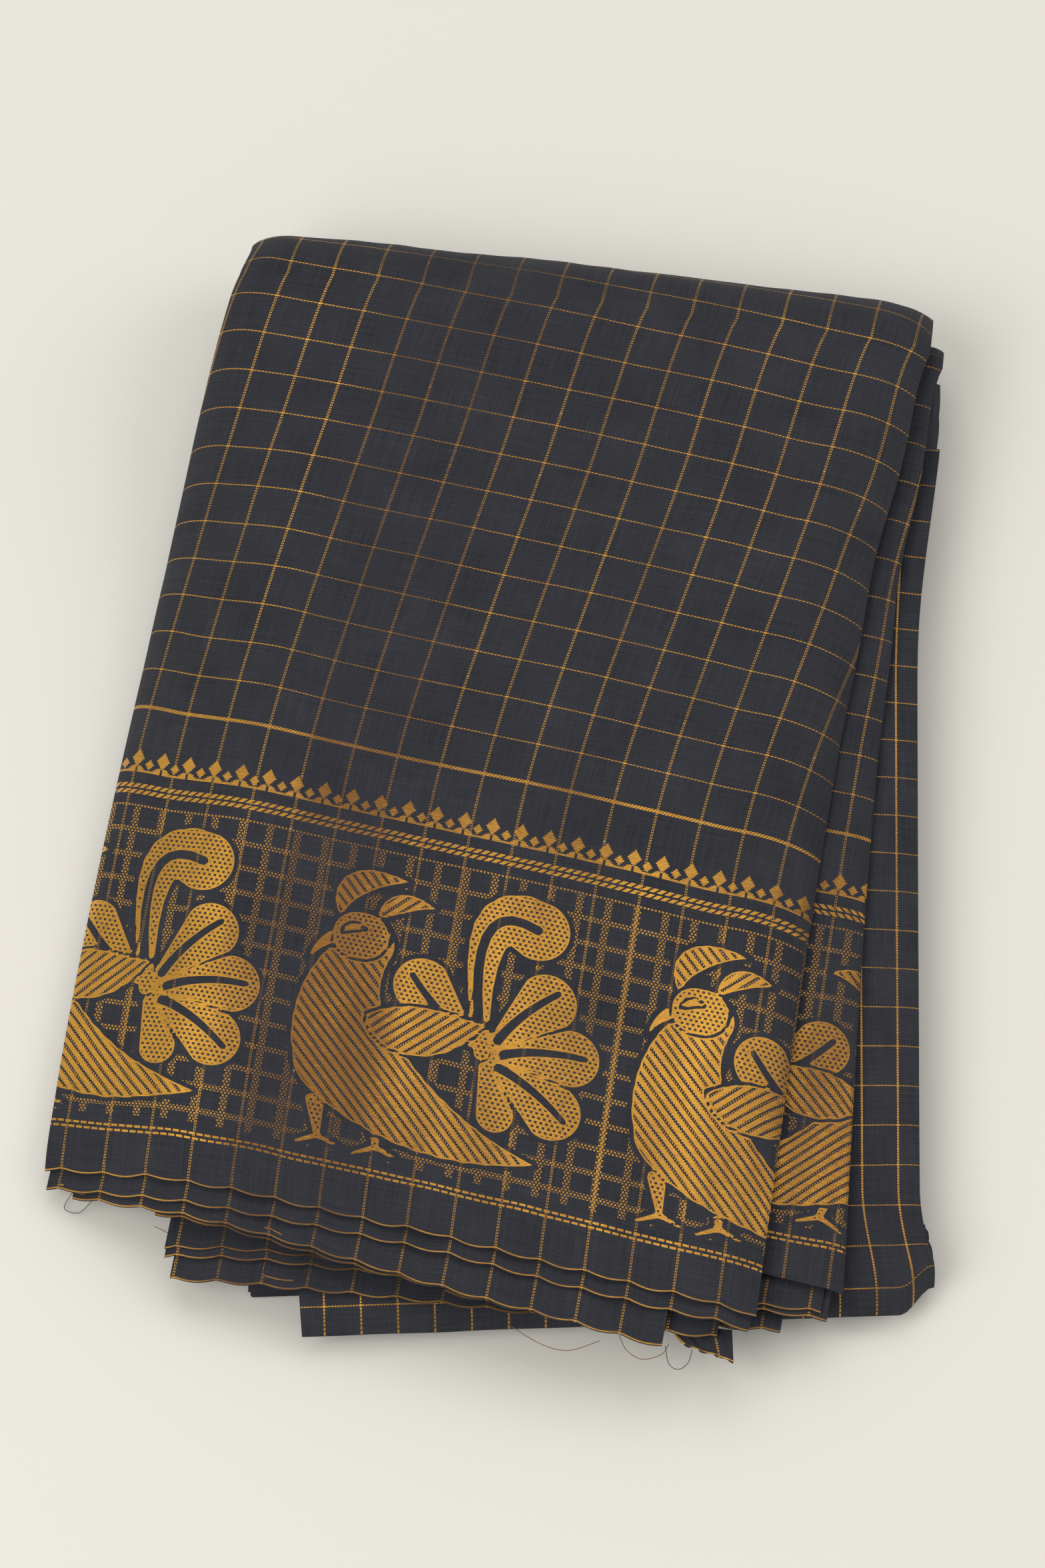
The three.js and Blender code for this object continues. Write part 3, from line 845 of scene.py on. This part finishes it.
def front_panel(sizes):
    """The outer stretch: on top, round the fold and along the underside."""
    kind, t = stations(
        (UPPER, 1, 0.5, 156), (UPPER, 0.492, 0, 50), (FOLD, 0.1, math.pi, 26), (LOWER, 0.02, 0.93, 18)
    )
    across = np.linspace(0, WIDTH, 176)[None, :]
    kind, t, across = np.broadcast_arrays(kind, t, across)
    u, v = weave_place(kind, t, across)
    lifted = np.where(kind == LOWER, 0.0, 1.0) * crumpled(u, v, 11)
    points = hairpin(kind, t, across, panel_drop(kind, t, across) - lifted)
    points[..., 1] -= np.abs(np.sin(math.pi * (u - FIRST_WARP) / CHECK)) * SCALLOP * ease(1 - v / 5)
    points[..., 2] = np.maximum(points[..., 2], 0.0)
    # The gold is painted brighter near the panel's sides and duller between them: a painted highlight.
    extra = {**bird_fields(u, v, PANEL_BIRD), "painted_highlight": highlight_across_width(across)}
    piece = cloth_object("front_panel_cloth", points, np.stack([u, v], -1), extra)
    finish_cloth(piece, sizes.cloth_wall, material("border_cloth"))
    declare(piece, "front_panel")


def second_fold(sizes):
    """The side of the second pleat, which shows right of the front panel."""
    kind, t = stations((UPPER, SECOND_END, 0.5, 170), (UPPER, 0.49, 0, 60), (FOLD, 0.1, 0.75 * math.pi, 22))
    side = group_sides(kind, t, True)[1]
    inner = WIDTH - 1.0
    spread = np.sin(np.linspace(0, math.pi / 2, 34))[None, :]
    across = mix(inner, side, spread)
    kind, t, across = np.broadcast_arrays(kind, t, across)
    reach = np.minimum(7.0, side - inner)
    curl = roll_drop(side - across, reach, reach * 0.28)
    top = ledge_depth(kind, t, across) - reach * 0.15 - AIR - WALL
    share = np.where(kind == UPPER, t, 0.0)
    w = ROPE + (share - 0.58) * reach_at(across) * 1.026 - np.where(kind == FOLD, FOLD_RADIUS * t, 0.0)
    u, v = SECOND_WEAVE - across, THICK_LINE - w
    points = hairpin(kind, t, across, top + curl - 0.18 * waves(u, v, 21, 21))
    # The second fold's gold gets an even, weak painted highlight.
    extra = {**bird_fields(u, v, SECOND_BIRD), "painted_highlight": SECOND_PAINTED_HIGHLIGHT + 0 * across}
    piece = cloth_object("second_fold_cloth", points, np.stack([u, v], -1), extra)
    finish_cloth(piece, sizes.cloth_wall, material("border_cloth"))
    declare(piece, "second_fold")


def rear_panel(sizes):
    """The upper cloth of the lower half, rolled down at its front end."""
    kind, t = stations((LOWER, 1.0, 0.92, 26), (LOWER, 0.914, 0.08, 110))
    left, right = group_sides(kind, t, True)
    spread = np.linspace(0, 1, 110)[None, :]
    across = mix(left, right, spread)
    kind, t, across = np.broadcast_arrays(kind, t, across)
    plan = lower_plan(across, t)
    nose = roll_drop((1 - t) * REACH, NOSE_REACH, NOSE_DROP)
    plan = plan + 1j * corner_back(across, t)
    u, v = across * 1.15 + 1.35, t * 294
    height = middle(plan) + WALL / 2 - rear_drop(t, across) - nose + 0.18 * waves(u, v, 31, 30)
    points = at_height(plan, height)
    place = np.stack([u, THICK_LINE + v + CHECK], -1)
    # The rear panel's gold gets an even painted highlight.
    piece = cloth_object("rear_panel_cloth", points, place, {"painted_highlight": REAR_PAINTED_HIGHLIGHT + 0 * across})
    finish_cloth(piece, sizes.cloth_wall, material("field_cloth"))
    declare(piece, "rear_panel")


# Left and right front corners in plan, sag between them, and place in the stack.
LEAVES = [
    ("selvedge_leaf_1", -125.6 - 106j, 58 - 151.5j, 0.4, 1),
    ("selvedge_leaf_2", -118.5 - 108.5j, 35.7 - 156.2j, -1.0, 2),
    ("selvedge_leaf_3", -96 - 116.5j, 28 - 152j, -1.6, 3),
    ("selvedge_leaf_4", -20 - 140.5j, 50 - 152.3j, -0.8, 4),
    ("selvedge_leaf_5", 4 - 137j, 78.5 - 146j, -0.4, 6),
    ("selvedge_leaf_6", -93.5 - 127j, 57 - 144j, 0.3, 7),
    ("selvedge_leaf_7", -92 - 132.4j, 66.6 - 148.8j, -1.8, 8),
]
STACK = 9


def back_of_leaf(front):
    """The plan point where a leaf goes in under the front panel."""
    start = upper_plan(0, LEAF_START + 0.008)
    line = upper_plan(WIDTH, LEAF_START + 0.008) - start
    back = (FOLD_LEFT - SELVEDGE_LEFT) / abs(FOLD_LEFT - SELVEDGE_LEFT)
    return front + back * dot((start - front) * 1j, line) / dot(back * 1j, line)


def leaf_height(point, place):
    """Height of a leaf at its place in the stack of leaves."""
    across, share = upper_place(point)
    across, share = np.clip(across, 0, WIDTH), np.clip(share, 0, 1)
    cover = panel_drop(UPPER, share, across) + WALL + PANEL_AIR
    floor = middle(point) + HALF_GAP
    return mix(upper_top(point) - cover, floor, (place - 1) / (STACK - 1))


def leaf_sheet(left, right, sag, place, seed, back_off=0.0):
    """Points and weave places of one selvedge end, from its front edge back."""
    columns = max(12, int(abs(right - left) / 1.5))
    share = np.linspace(0, 1, columns + 1)[None, :]
    front = mix(left, right, share)
    front = front + 1j * (sag * np.sin(math.pi * share) + 0.35 * np.sin(11 * share + 2 * place))
    u = upper_place(front)[0] + LEAN_IN_BORDER
    front = front - 1j * SCALLOP * np.abs(np.sin(math.pi * (u - FIRST_WARP) / CHECK)) + 1j * back_off
    rows = (np.linspace(0, 1, 25) ** 1.3)[:, None]
    point = mix(front, back_of_leaf(front), rows)
    v = np.abs(point - front)
    u = u + 0 * v
    lift = 0.28 * waves(u, v, seed, 24) * ease(1 - rows * 1.6)
    height = leaf_height(point, place) + lift
    return at_height(point, height), np.stack([u, v], -1)


# Thinner ends between the leaves: the leaf followed, place in the stack, how far back, span.
INNER_LEAVES = [
    (0, 1.5, 1.2, 0.02, 0.9),
    (1, 2.45, 1.6, 0.0, 0.97),
    (2, 2.7, 2.6, 0.06, 0.8),
    (2, 3.5, 1.4, 0.0, 0.93),
    (3, 4.5, 1.9, 0.03, 1.0),
    (4, 5.5, 1.3, 0.1, 0.98),
    (5, 6.5, 2.2, 0.0, 0.9),
    (5, 7.4, 1.3, 0.04, 1.0),
    (6, 8.4, 1.8, 0.02, 0.95),
]


def selvedge_leaves(sizes):
    """The selvedge ends that fan out under the front panel."""
    for number, (node, left, right, sag, place) in enumerate(LEAVES):
        points, weave = leaf_sheet(left, right, sag, place, 40 + number)
        # The leaves' gold gets the same painted highlight across the width as the front panel.
        extra = {"painted_highlight": highlight_across_width(weave[..., 0] - LEAN_IN_BORDER)}
        piece = cloth_object(node + "_cloth", points, weave, extra)
        finish_cloth(piece, sizes.cloth_wall, material("selvedge_cloth"))
        declare(piece, node)


def inner_leaves(sizes):
    """Thinner ends between the leaves, set back a little."""
    for number, (leaf, place, back_off, first, last) in enumerate(INNER_LEAVES):
        node, left, right, sag, _ = LEAVES[leaf]
        ends = mix(left, right, first), mix(left, right, last)
        points, weave = leaf_sheet(*ends, sag * 0.8, place, 60 + number, back_off)
        # The thinner leaves' gold gets the same painted highlight across the width.
        extra = {"painted_highlight": highlight_across_width(weave[..., 0] - LEAN_IN_BORDER)}
        piece = cloth_object(f"inner_leaf_{number + 1}", points, weave, extra)
        finish_cloth(piece, sizes.cloth_wall * 0.7, material("selvedge_cloth"))
        length = round(abs(ends[1] - ends[0]) * MM, 3)
        declare(piece, node)


def turned_corner(sizes):
    """The small twisted corner at the front right."""
    root = (37 - 148.6j, 54 - 150.2j)
    tip = (41.5 - 154j, 54.2 - 159.2j)
    share = np.linspace(0, 1, 40)[None, :]
    reach = np.linspace(1, 0, 30)[:, None]
    point = mix(mix(root[0], root[1], share), mix(tip[0], tip[1], share), reach)
    rise = 5.5 * reach * np.maximum(0, share - 0.55) ** 1.5
    pleat = (0.6 * np.sin(share * 9 + reach * 2) + 0.25 * np.sin(share * 21 - reach * 5)) * reach
    height = leaf_height(point, 5) + rise + pleat - 0.2
    points = at_height(point, height)
    weave = np.stack([share * 17 + 3 + 0 * reach, (1 - reach) * 9 + 0 * share], -1)
    # The turned corner's gold is painted at full highlight.
    piece = cloth_object("turned_corner_cloth", points, weave, {"painted_highlight": 1 + 0 * weave[..., 0]})
    finish_cloth(piece, sizes.cloth_wall * 1.6, material("selvedge_cloth"))
    declare(piece, "turned_corner")


# Loose ends of thread: finish, and points in plan with their heights over the table.
THREADS = [
    ("gold_thread", [(38, -151, 11), (36, -153.6, 10), (31, -154.6, 9), (27, -152.5, 10), (25, -149, 12)]),
    ("dark_thread", [(44, -152, 9), (43, -154.8, 7), (40.5, -156, 5), (38, -154.8, 6), (37, -151, 9)]),
    ("gold_thread", [(20, -151, 13), (12, -153.2, 12), (5, -151.6, 12), (-3, -147, 13)]),
    ("dark_thread", [(-113, -108, 3), (-117, -111.5, 1.5), (-121, -110, 0.9), (-119, -106, 2)]),
    ("gold_thread", [(-74, -118.5, 6), (-82, -120.5, 4), (-90, -119, 3), (-97, -116, 3.5)]),
]


def smooth_line(path):
    """Points of a smooth line through the given ones, twelve to a stretch."""
    ends = np.vstack([2 * path[0] - path[1], path, 2 * path[-1] - path[-2]])
    share = np.linspace(0, 1, 13)[:-1, None]
    runs = []
    for a, b, c, d in zip(ends, ends[1:], ends[2:], ends[3:]):
        bend = (2 * a - 5 * b + 4 * c - d) * share + (3 * b - a - 3 * c + d) * share**2
        runs.append(b + 0.5 * share * (c - a + bend))
    return np.vstack([*runs, path[-1:]])


def loose_threads(sizes):
    """Fine curved ends of thread along the selvedges."""
    for number, (finish, path) in enumerate(THREADS):
        path = np.array(path, float)
        line = smooth_line(path)
        tangent = np.gradient(line, axis=0)
        tangent /= np.linalg.norm(tangent, axis=1, keepdims=True)
        side = np.cross(tangent, [0, 0, 1.0])
        side /= np.linalg.norm(side, axis=1, keepdims=True)
        up = np.cross(side, tangent)
        turn = np.linspace(0, -2 * math.pi, 7)[None, :, None]
        ring = side[:, None] * np.cos(turn) + up[:, None] * np.sin(turn)
        points = line[:, None] + ring * sizes.thread_radius / MM
        weave = np.zeros((*points.shape[:2], 2))
        piece = cloth_object(f"loose_thread_{number + 1}", points, weave)
        piece.data.materials.append(material(finish))
        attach(piece, "root")


FOLDS = 9  # folded edges drawn in each group of layers
SIDE_INSET = 2.0  # the folded edges lie this far inside the sides, on average


def side_across(kind, t, row, second, out, right):
    """Where a folded edge lies across, at the stations of the hairpin."""
    side = group_sides(kind, t, second)[1 if right else 0]
    travel = np.select([kind == UPPER, kind == FOLD], [-t, t / 20], t)
    step = np.ceil(row / 2)
    stagger = 0.55 * np.sin(2.4 * step + 0.6) + 0.4 * np.sin(1.1 * step + travel * 5)
    uneven = 0.25 * np.sin(travel * 37 + step * 1.9) + 0.18 * np.sin(travel * 83 + step * 0.7)
    wander = np.where(row == 0, 0.0, out + stagger + uneven) - SIDE_INSET
    return side + wander if right else side - wander


def hidden_layers():
    """One skin round all the inner layers: ridged sides and ends, one ridge for each folded edge."""
    kind, t = stations((UPPER, LEAF_START, 0, 150), (FOLD, 0.06, math.pi - 0.06, 40), (LOWER, 0, 1, 150))
    rows = 2 * FOLDS + 1
    row = np.concatenate([np.arange(rows), [0], np.arange(rows)])
    second = np.repeat([False, True], [rows, rows + 1])
    share = row / (rows - 1)
    out = np.where(row % 2, 0.5, -0.5)
    side_points, layer_values = {}, np.arange(len(row)) / 2
    for right in (False, True):
        columns = []
        for index in range(len(row)):
            args = (kind[:, 0], t[:, 0])
            across = side_across(*args, row[index], bool(second[index]), out[index], right)
            columns.append((across, *args, share[index], bool(second[index])))
        side_points[right] = np.stack([layer_depth(*column) for column in columns], axis=1)
    back = np.where(np.arange(len(row)) > rows, 2.2, 14.0) - out * 1.3
    piece = skin_between(side_points[False], side_points[True], layer_values, back, kind[:, 0], t[:, 0])
    piece.data.materials.append(material("layer_edges"))
    choose(piece)
    bpy.ops.object.shade_smooth_by_angle(angle=math.radians(60))
    piece.select_set(False)
    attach(piece, "root")
    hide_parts("hidden_layers")


def end_pull(kind, t):
    """How much of the pull at the lower half's end a station takes."""
    return np.where(kind == LOWER, ease((t - 0.9) / 0.1), 0.0)


def layer_depth(across, kind, t, share, second):
    """Points of one folded edge along the hairpin."""
    inside = np.clip(across, 0, WIDTH)
    step = 0.2
    ahead = panel_drop(kind, t, np.minimum(WIDTH, inside + step))
    slope = (ahead - panel_drop(kind, t, np.maximum(0, inside - step))) / (2 * step)
    cover = np.where(kind == LOWER, WALL + AIR, (WALL + PANEL_AIR) * np.hypot(1, slope))
    top = panel_drop(kind, t, inside) + cover
    ledge = ledge_depth(kind, t, across)
    deep = inner_depth(kind, t, across)
    depth = mix(ledge, deep, share) if second else mix(top, ledge - 0.2, share)
    return hairpin(kind, t, across, depth)


def skin_between(left, right, layers, back, kind, t):
    """A closed skin: left and right sides, outer and inner faces and the two ends."""
    columns = 14
    shares = np.linspace(0, 1, columns + 1)
    n, m = left.shape[:2]
    block = left[:, None] + (right - left)[:, None] * shares[None, :, None, None]
    # The outer and inner faces follow the cloth over them, and not a straight line across.
    for j, share in enumerate(shares):
        first, second = (group_sides(kind, t, later) for later in (False, True))
        outer = mix(first[0] + SIDE_INSET, first[1] - SIDE_INSET, share)
        inner = mix(second[0] + SIDE_INSET, second[1] - SIDE_INSET, share)
        block[:, j, 0] = layer_depth(outer, kind, t, 0.0, False)
        if 0 < j < columns:
            block[:, j, m - 1] = layer_depth(inner, kind, t, 1.0, True)
    # The layers end behind the lower half's rolled nose.
    plan = block[..., 0] + 1j * block[..., 1]
    under = np.maximum(middle(plan) + WALL / 2 - block[..., 2] - WALL - AIR, 0)
    nose = np.where(back > 10, 0.0, nose_back(under))
    block[..., 1] += end_pull(kind, t)[:, None, None] * (back + nose)
    tucked = corner_back(shares * WIDTH, t[:, None]) * np.where(kind == LOWER, 1.0, 0.0)[:, None]
    block[..., 1] += tucked[..., None]
    index = {}
    points, values, place, faces = [], [], [], []

    def vertex(i, j, k):
        key = (i, j, k)
        if key not in index:
            index[key] = len(points)
            points.append(block[i, j, k])
            values.append(layers[k])
            place.append((shares[j] * WIDTH, i * 2.0))
        return index[key]

    def quad(*corners):
        faces.append([vertex(*corner) for corner in corners])

    for i in range(n - 1):
        for j in range(columns):
            quad((i, j, 0), (i, j + 1, 0), (i + 1, j + 1, 0), (i + 1, j, 0))
            quad((i, j, m - 1), (i + 1, j, m - 1), (i + 1, j + 1, m - 1), (i, j + 1, m - 1))
        for k in range(m - 1):
            quad((i, 0, k), (i + 1, 0, k), (i + 1, 0, k + 1), (i, 0, k + 1))
            quad((i, columns, k), (i, columns, k + 1), (i + 1, columns, k + 1), (i + 1, columns, k))
    for j in range(columns):
        for k in range(m - 1):
            quad((0, j, k), (0, j, k + 1), (0, j + 1, k + 1), (0, j + 1, k))
            quad((n - 1, j, k), (n - 1, j + 1, k), (n - 1, j + 1, k + 1), (n - 1, j, k + 1))
    extra = {"layer": np.array(values)}
    return new_piece("hidden_layers_edges", np.array(points), faces, np.array(place), extra)


# ---- Stage ----
def stage(sizes):
    """The camera, three soft lamps, a pale room and the paper under the saree."""
    target = Vector((-CENTRE.real, -CENTRE.imag, 30)) * MM
    tilt = sizes.camera_elevation
    data = bpy.data.cameras.new("camera")
    data.sensor_width = 36
    data.lens = 120
    camera = bpy.data.objects.new("camera", data)
    away = Vector((0, -math.cos(tilt), math.sin(tilt)))
    camera.location = target + away * sizes.camera_distance
    camera.rotation_euler = (math.pi / 2 - tilt, 0, 0)
    bpy.context.scene.collection.objects.link(camera)
    bpy.context.scene.camera = camera
    clear_selection()
    bpy.ops.mesh.primitive_plane_add(size=6, location=(0, 0, -0.0002))
    floor = bpy.context.active_object
    floor.name = "paper_floor"
    floor.data.materials.append(material("paper"))
    floor.select_set(False)
    for name, place, size, power in [
        ("front_left_window", (-1.1, -0.8, 1.5), 1.4, 20),
        ("right_fill", (1.6, 0.3, 1.3), 1.4, 9),
        ("overhead", (0.0, 1.0, 2.1), 1.6, 11),
    ]:
        lamp = bpy.data.lights.new(name, "AREA")
        lamp.shape = "SQUARE"
        lamp.size = size
        lamp.energy = power
        lamp.color = (1.0, 0.98, 0.94)
        light = bpy.data.objects.new(name, lamp)
        light.location = place
        light.rotation_euler = (-Vector(place)).to_track_quat("-Z", "Y").to_euler()
        bpy.context.scene.collection.objects.link(light)
    world = bpy.data.worlds.new("soft_room")
    world.use_nodes = True
    background = world.node_tree.nodes["Background"]
    background.inputs["Color"].default_value = (1.0, 0.985, 0.95, 1)
    background.inputs["Strength"].default_value = 0.42
    bpy.context.scene.world = world
    bpy.context.scene.view_settings.view_transform = "Standard"


# ---- Add-on ----
class SareeSizes(bpy.types.PropertyGroup):
    """Sizes that a user may change."""

    cloth_wall: bpy.props.FloatProperty(
        name="Cloth wall", description="Thickness of one sheet of cloth", default=0.00045, unit="LENGTH"
    )
    thread_radius: bpy.props.FloatProperty(
        name="Thread radius", description="Half the thickness of a loose thread", default=0.0001, unit="LENGTH"
    )
    camera_distance: bpy.props.FloatProperty(
        name="Camera distance", description="From the camera to the saree", default=1.4, unit="LENGTH"
    )
    camera_elevation: bpy.props.FloatProperty(
        name="Camera elevation",
        description="The camera's angle above the table",
        default=math.radians(65),
        subtype="ANGLE",
    )


def colour(name, description, value):
    """A colour that a user may change."""
    return bpy.props.FloatVectorProperty(
        name=name, description=description, default=(*value, 1), size=4, subtype="COLOR", min=0, max=1
    )


class SareeColours(bpy.types.PropertyGroup):
    """Colours that a user may change."""

    cotton_deep: colour("Cotton, deep", "Darker tone of the ground", (0.015, 0.016, 0.022))
    cotton_pale: colour("Cotton, pale", "Lighter tone of the ground", (0.045, 0.047, 0.059))
    slub: colour("Slub", "Undyed specks on the warp", (0.45, 0.36, 0.22))
    # The metal thread's colour is mixed between its deep and bright tones by random thread tone and by painted
    # sheen bands and a painted highlight, so the bright tone is mostly painted light; the deep tone is also
    # the plain colour of the loose gold threads and of the check ends on the layer edges.
    zari_deep: colour("Zari, deep", "Darker tone of the metal thread", (0.25, 0.115, 0.03))
    zari_bright: colour("Zari, bright", "Lighter tone of the metal thread", (0.90, 0.47, 0.07))
    paper: colour("Paper", "The surface under the saree", (0.82, 0.805, 0.76))


class SAREE_OT_stage(bpy.types.Operator):
    """Adds the camera, the lights and the paper that the saree lies on"""

    bl_idname = "saree.stage"
    bl_label = "Stage"

    def execute(self, context):
        stage(context.scene.saree_sizes)
        return {"FINISHED"}


class SAREE_OT_front_panel(bpy.types.Operator):
    """Models the outer stretch of cloth, with its border of birds"""

    bl_idname = "saree.front_panel"
    bl_label = "Front panel"

    def execute(self, context):
        front_panel(context.scene.saree_sizes)
        return {"FINISHED"}


class SAREE_OT_second_fold(bpy.types.Operator):
    """Models the second pleat's side, right of the front panel"""

    bl_idname = "saree.second_fold"
    bl_label = "Second fold"

    def execute(self, context):
        second_fold(context.scene.saree_sizes)
        return {"FINISHED"}


class SAREE_OT_rear_panel(bpy.types.Operator):
    """Models the upper cloth of the lower half"""

    bl_idname = "saree.rear_panel"
    bl_label = "Rear panel"

    def execute(self, context):
        rear_panel(context.scene.saree_sizes)
        return {"FINISHED"}


class SAREE_OT_leaves(bpy.types.Operator):
    """Models the fanned selvedge ends of the pleats"""

    bl_idname = "saree.leaves"
    bl_label = "Selvedge leaves"

    def execute(self, context):
        selvedge_leaves(context.scene.saree_sizes)
        return {"FINISHED"}


class SAREE_OT_inner_leaves(bpy.types.Operator):
    """Models the thinner selvedge ends between the leaves"""

    bl_idname = "saree.inner_leaves"
    bl_label = "Inner leaves"

    def execute(self, context):
        inner_leaves(context.scene.saree_sizes)
        return {"FINISHED"}


class SAREE_OT_turned_corner(bpy.types.Operator):
    """Models the twisted corner at the front right"""

    bl_idname = "saree.turned_corner"
    bl_label = "Turned corner"

    def execute(self, context):
        turned_corner(context.scene.saree_sizes)
        return {"FINISHED"}


class SAREE_OT_loose_threads(bpy.types.Operator):
    """Models the loose ends of thread at the front"""

    bl_idname = "saree.loose_threads"
    bl_label = "Loose threads"

    def execute(self, context):
        loose_threads(context.scene.saree_sizes)
        return {"FINISHED"}


class SAREE_OT_hidden_layers(bpy.types.Operator):
    """Models the folded edges of all the inner layers"""

    bl_idname = "saree.hidden_layers"
    bl_label = "Hidden layers"

    def execute(self, context):
        hidden_layers()
        return {"FINISHED"}


OPERATORS = [
    SAREE_OT_stage,
    SAREE_OT_front_panel,
    SAREE_OT_second_fold,
    SAREE_OT_rear_panel,
    SAREE_OT_leaves,
    SAREE_OT_inner_leaves,
    SAREE_OT_turned_corner,
    SAREE_OT_loose_threads,
    SAREE_OT_hidden_layers,
]


class SAREE_PT_panel(bpy.types.Panel):
    """The saree's tools, in the 3D view's sidebar."""

    bl_idname = "SAREE_PT_panel"
    bl_label = "Folded saree"
    bl_space_type = "VIEW_3D"
    bl_region_type = "UI"
    bl_category = "Saree"

    def draw(self, context):
        for group in (context.scene.saree_sizes, context.scene.saree_colours):
            for key in group.__annotations__:
                self.layout.prop(group, key)
        for made in OPERATORS:
            self.layout.operator(made.bl_idname)


CLASSES = [SareeSizes, SareeColours, *OPERATORS, SAREE_PT_panel]


def register():
    for made in CLASSES:
        bpy.utils.register_class(made)
    bpy.types.Scene.saree_sizes = bpy.props.PointerProperty(type=SareeSizes)
    bpy.types.Scene.saree_colours = bpy.props.PointerProperty(type=SareeColours)


def unregister():
    del bpy.types.Scene.saree_colours
    del bpy.types.Scene.saree_sizes
    for made in reversed(CLASSES):
        bpy.utils.unregister_class(made)


def main():
    register()
    bpy.ops.saree.stage()
    bpy.ops.saree.front_panel()
    bpy.ops.saree.second_fold()
    bpy.ops.saree.rear_panel()
    bpy.ops.saree.leaves()
    bpy.ops.saree.inner_leaves()
    bpy.ops.saree.turned_corner()
    bpy.ops.saree.loose_threads()
    bpy.ops.saree.hidden_layers()


if __name__ == "__main__":
    main()
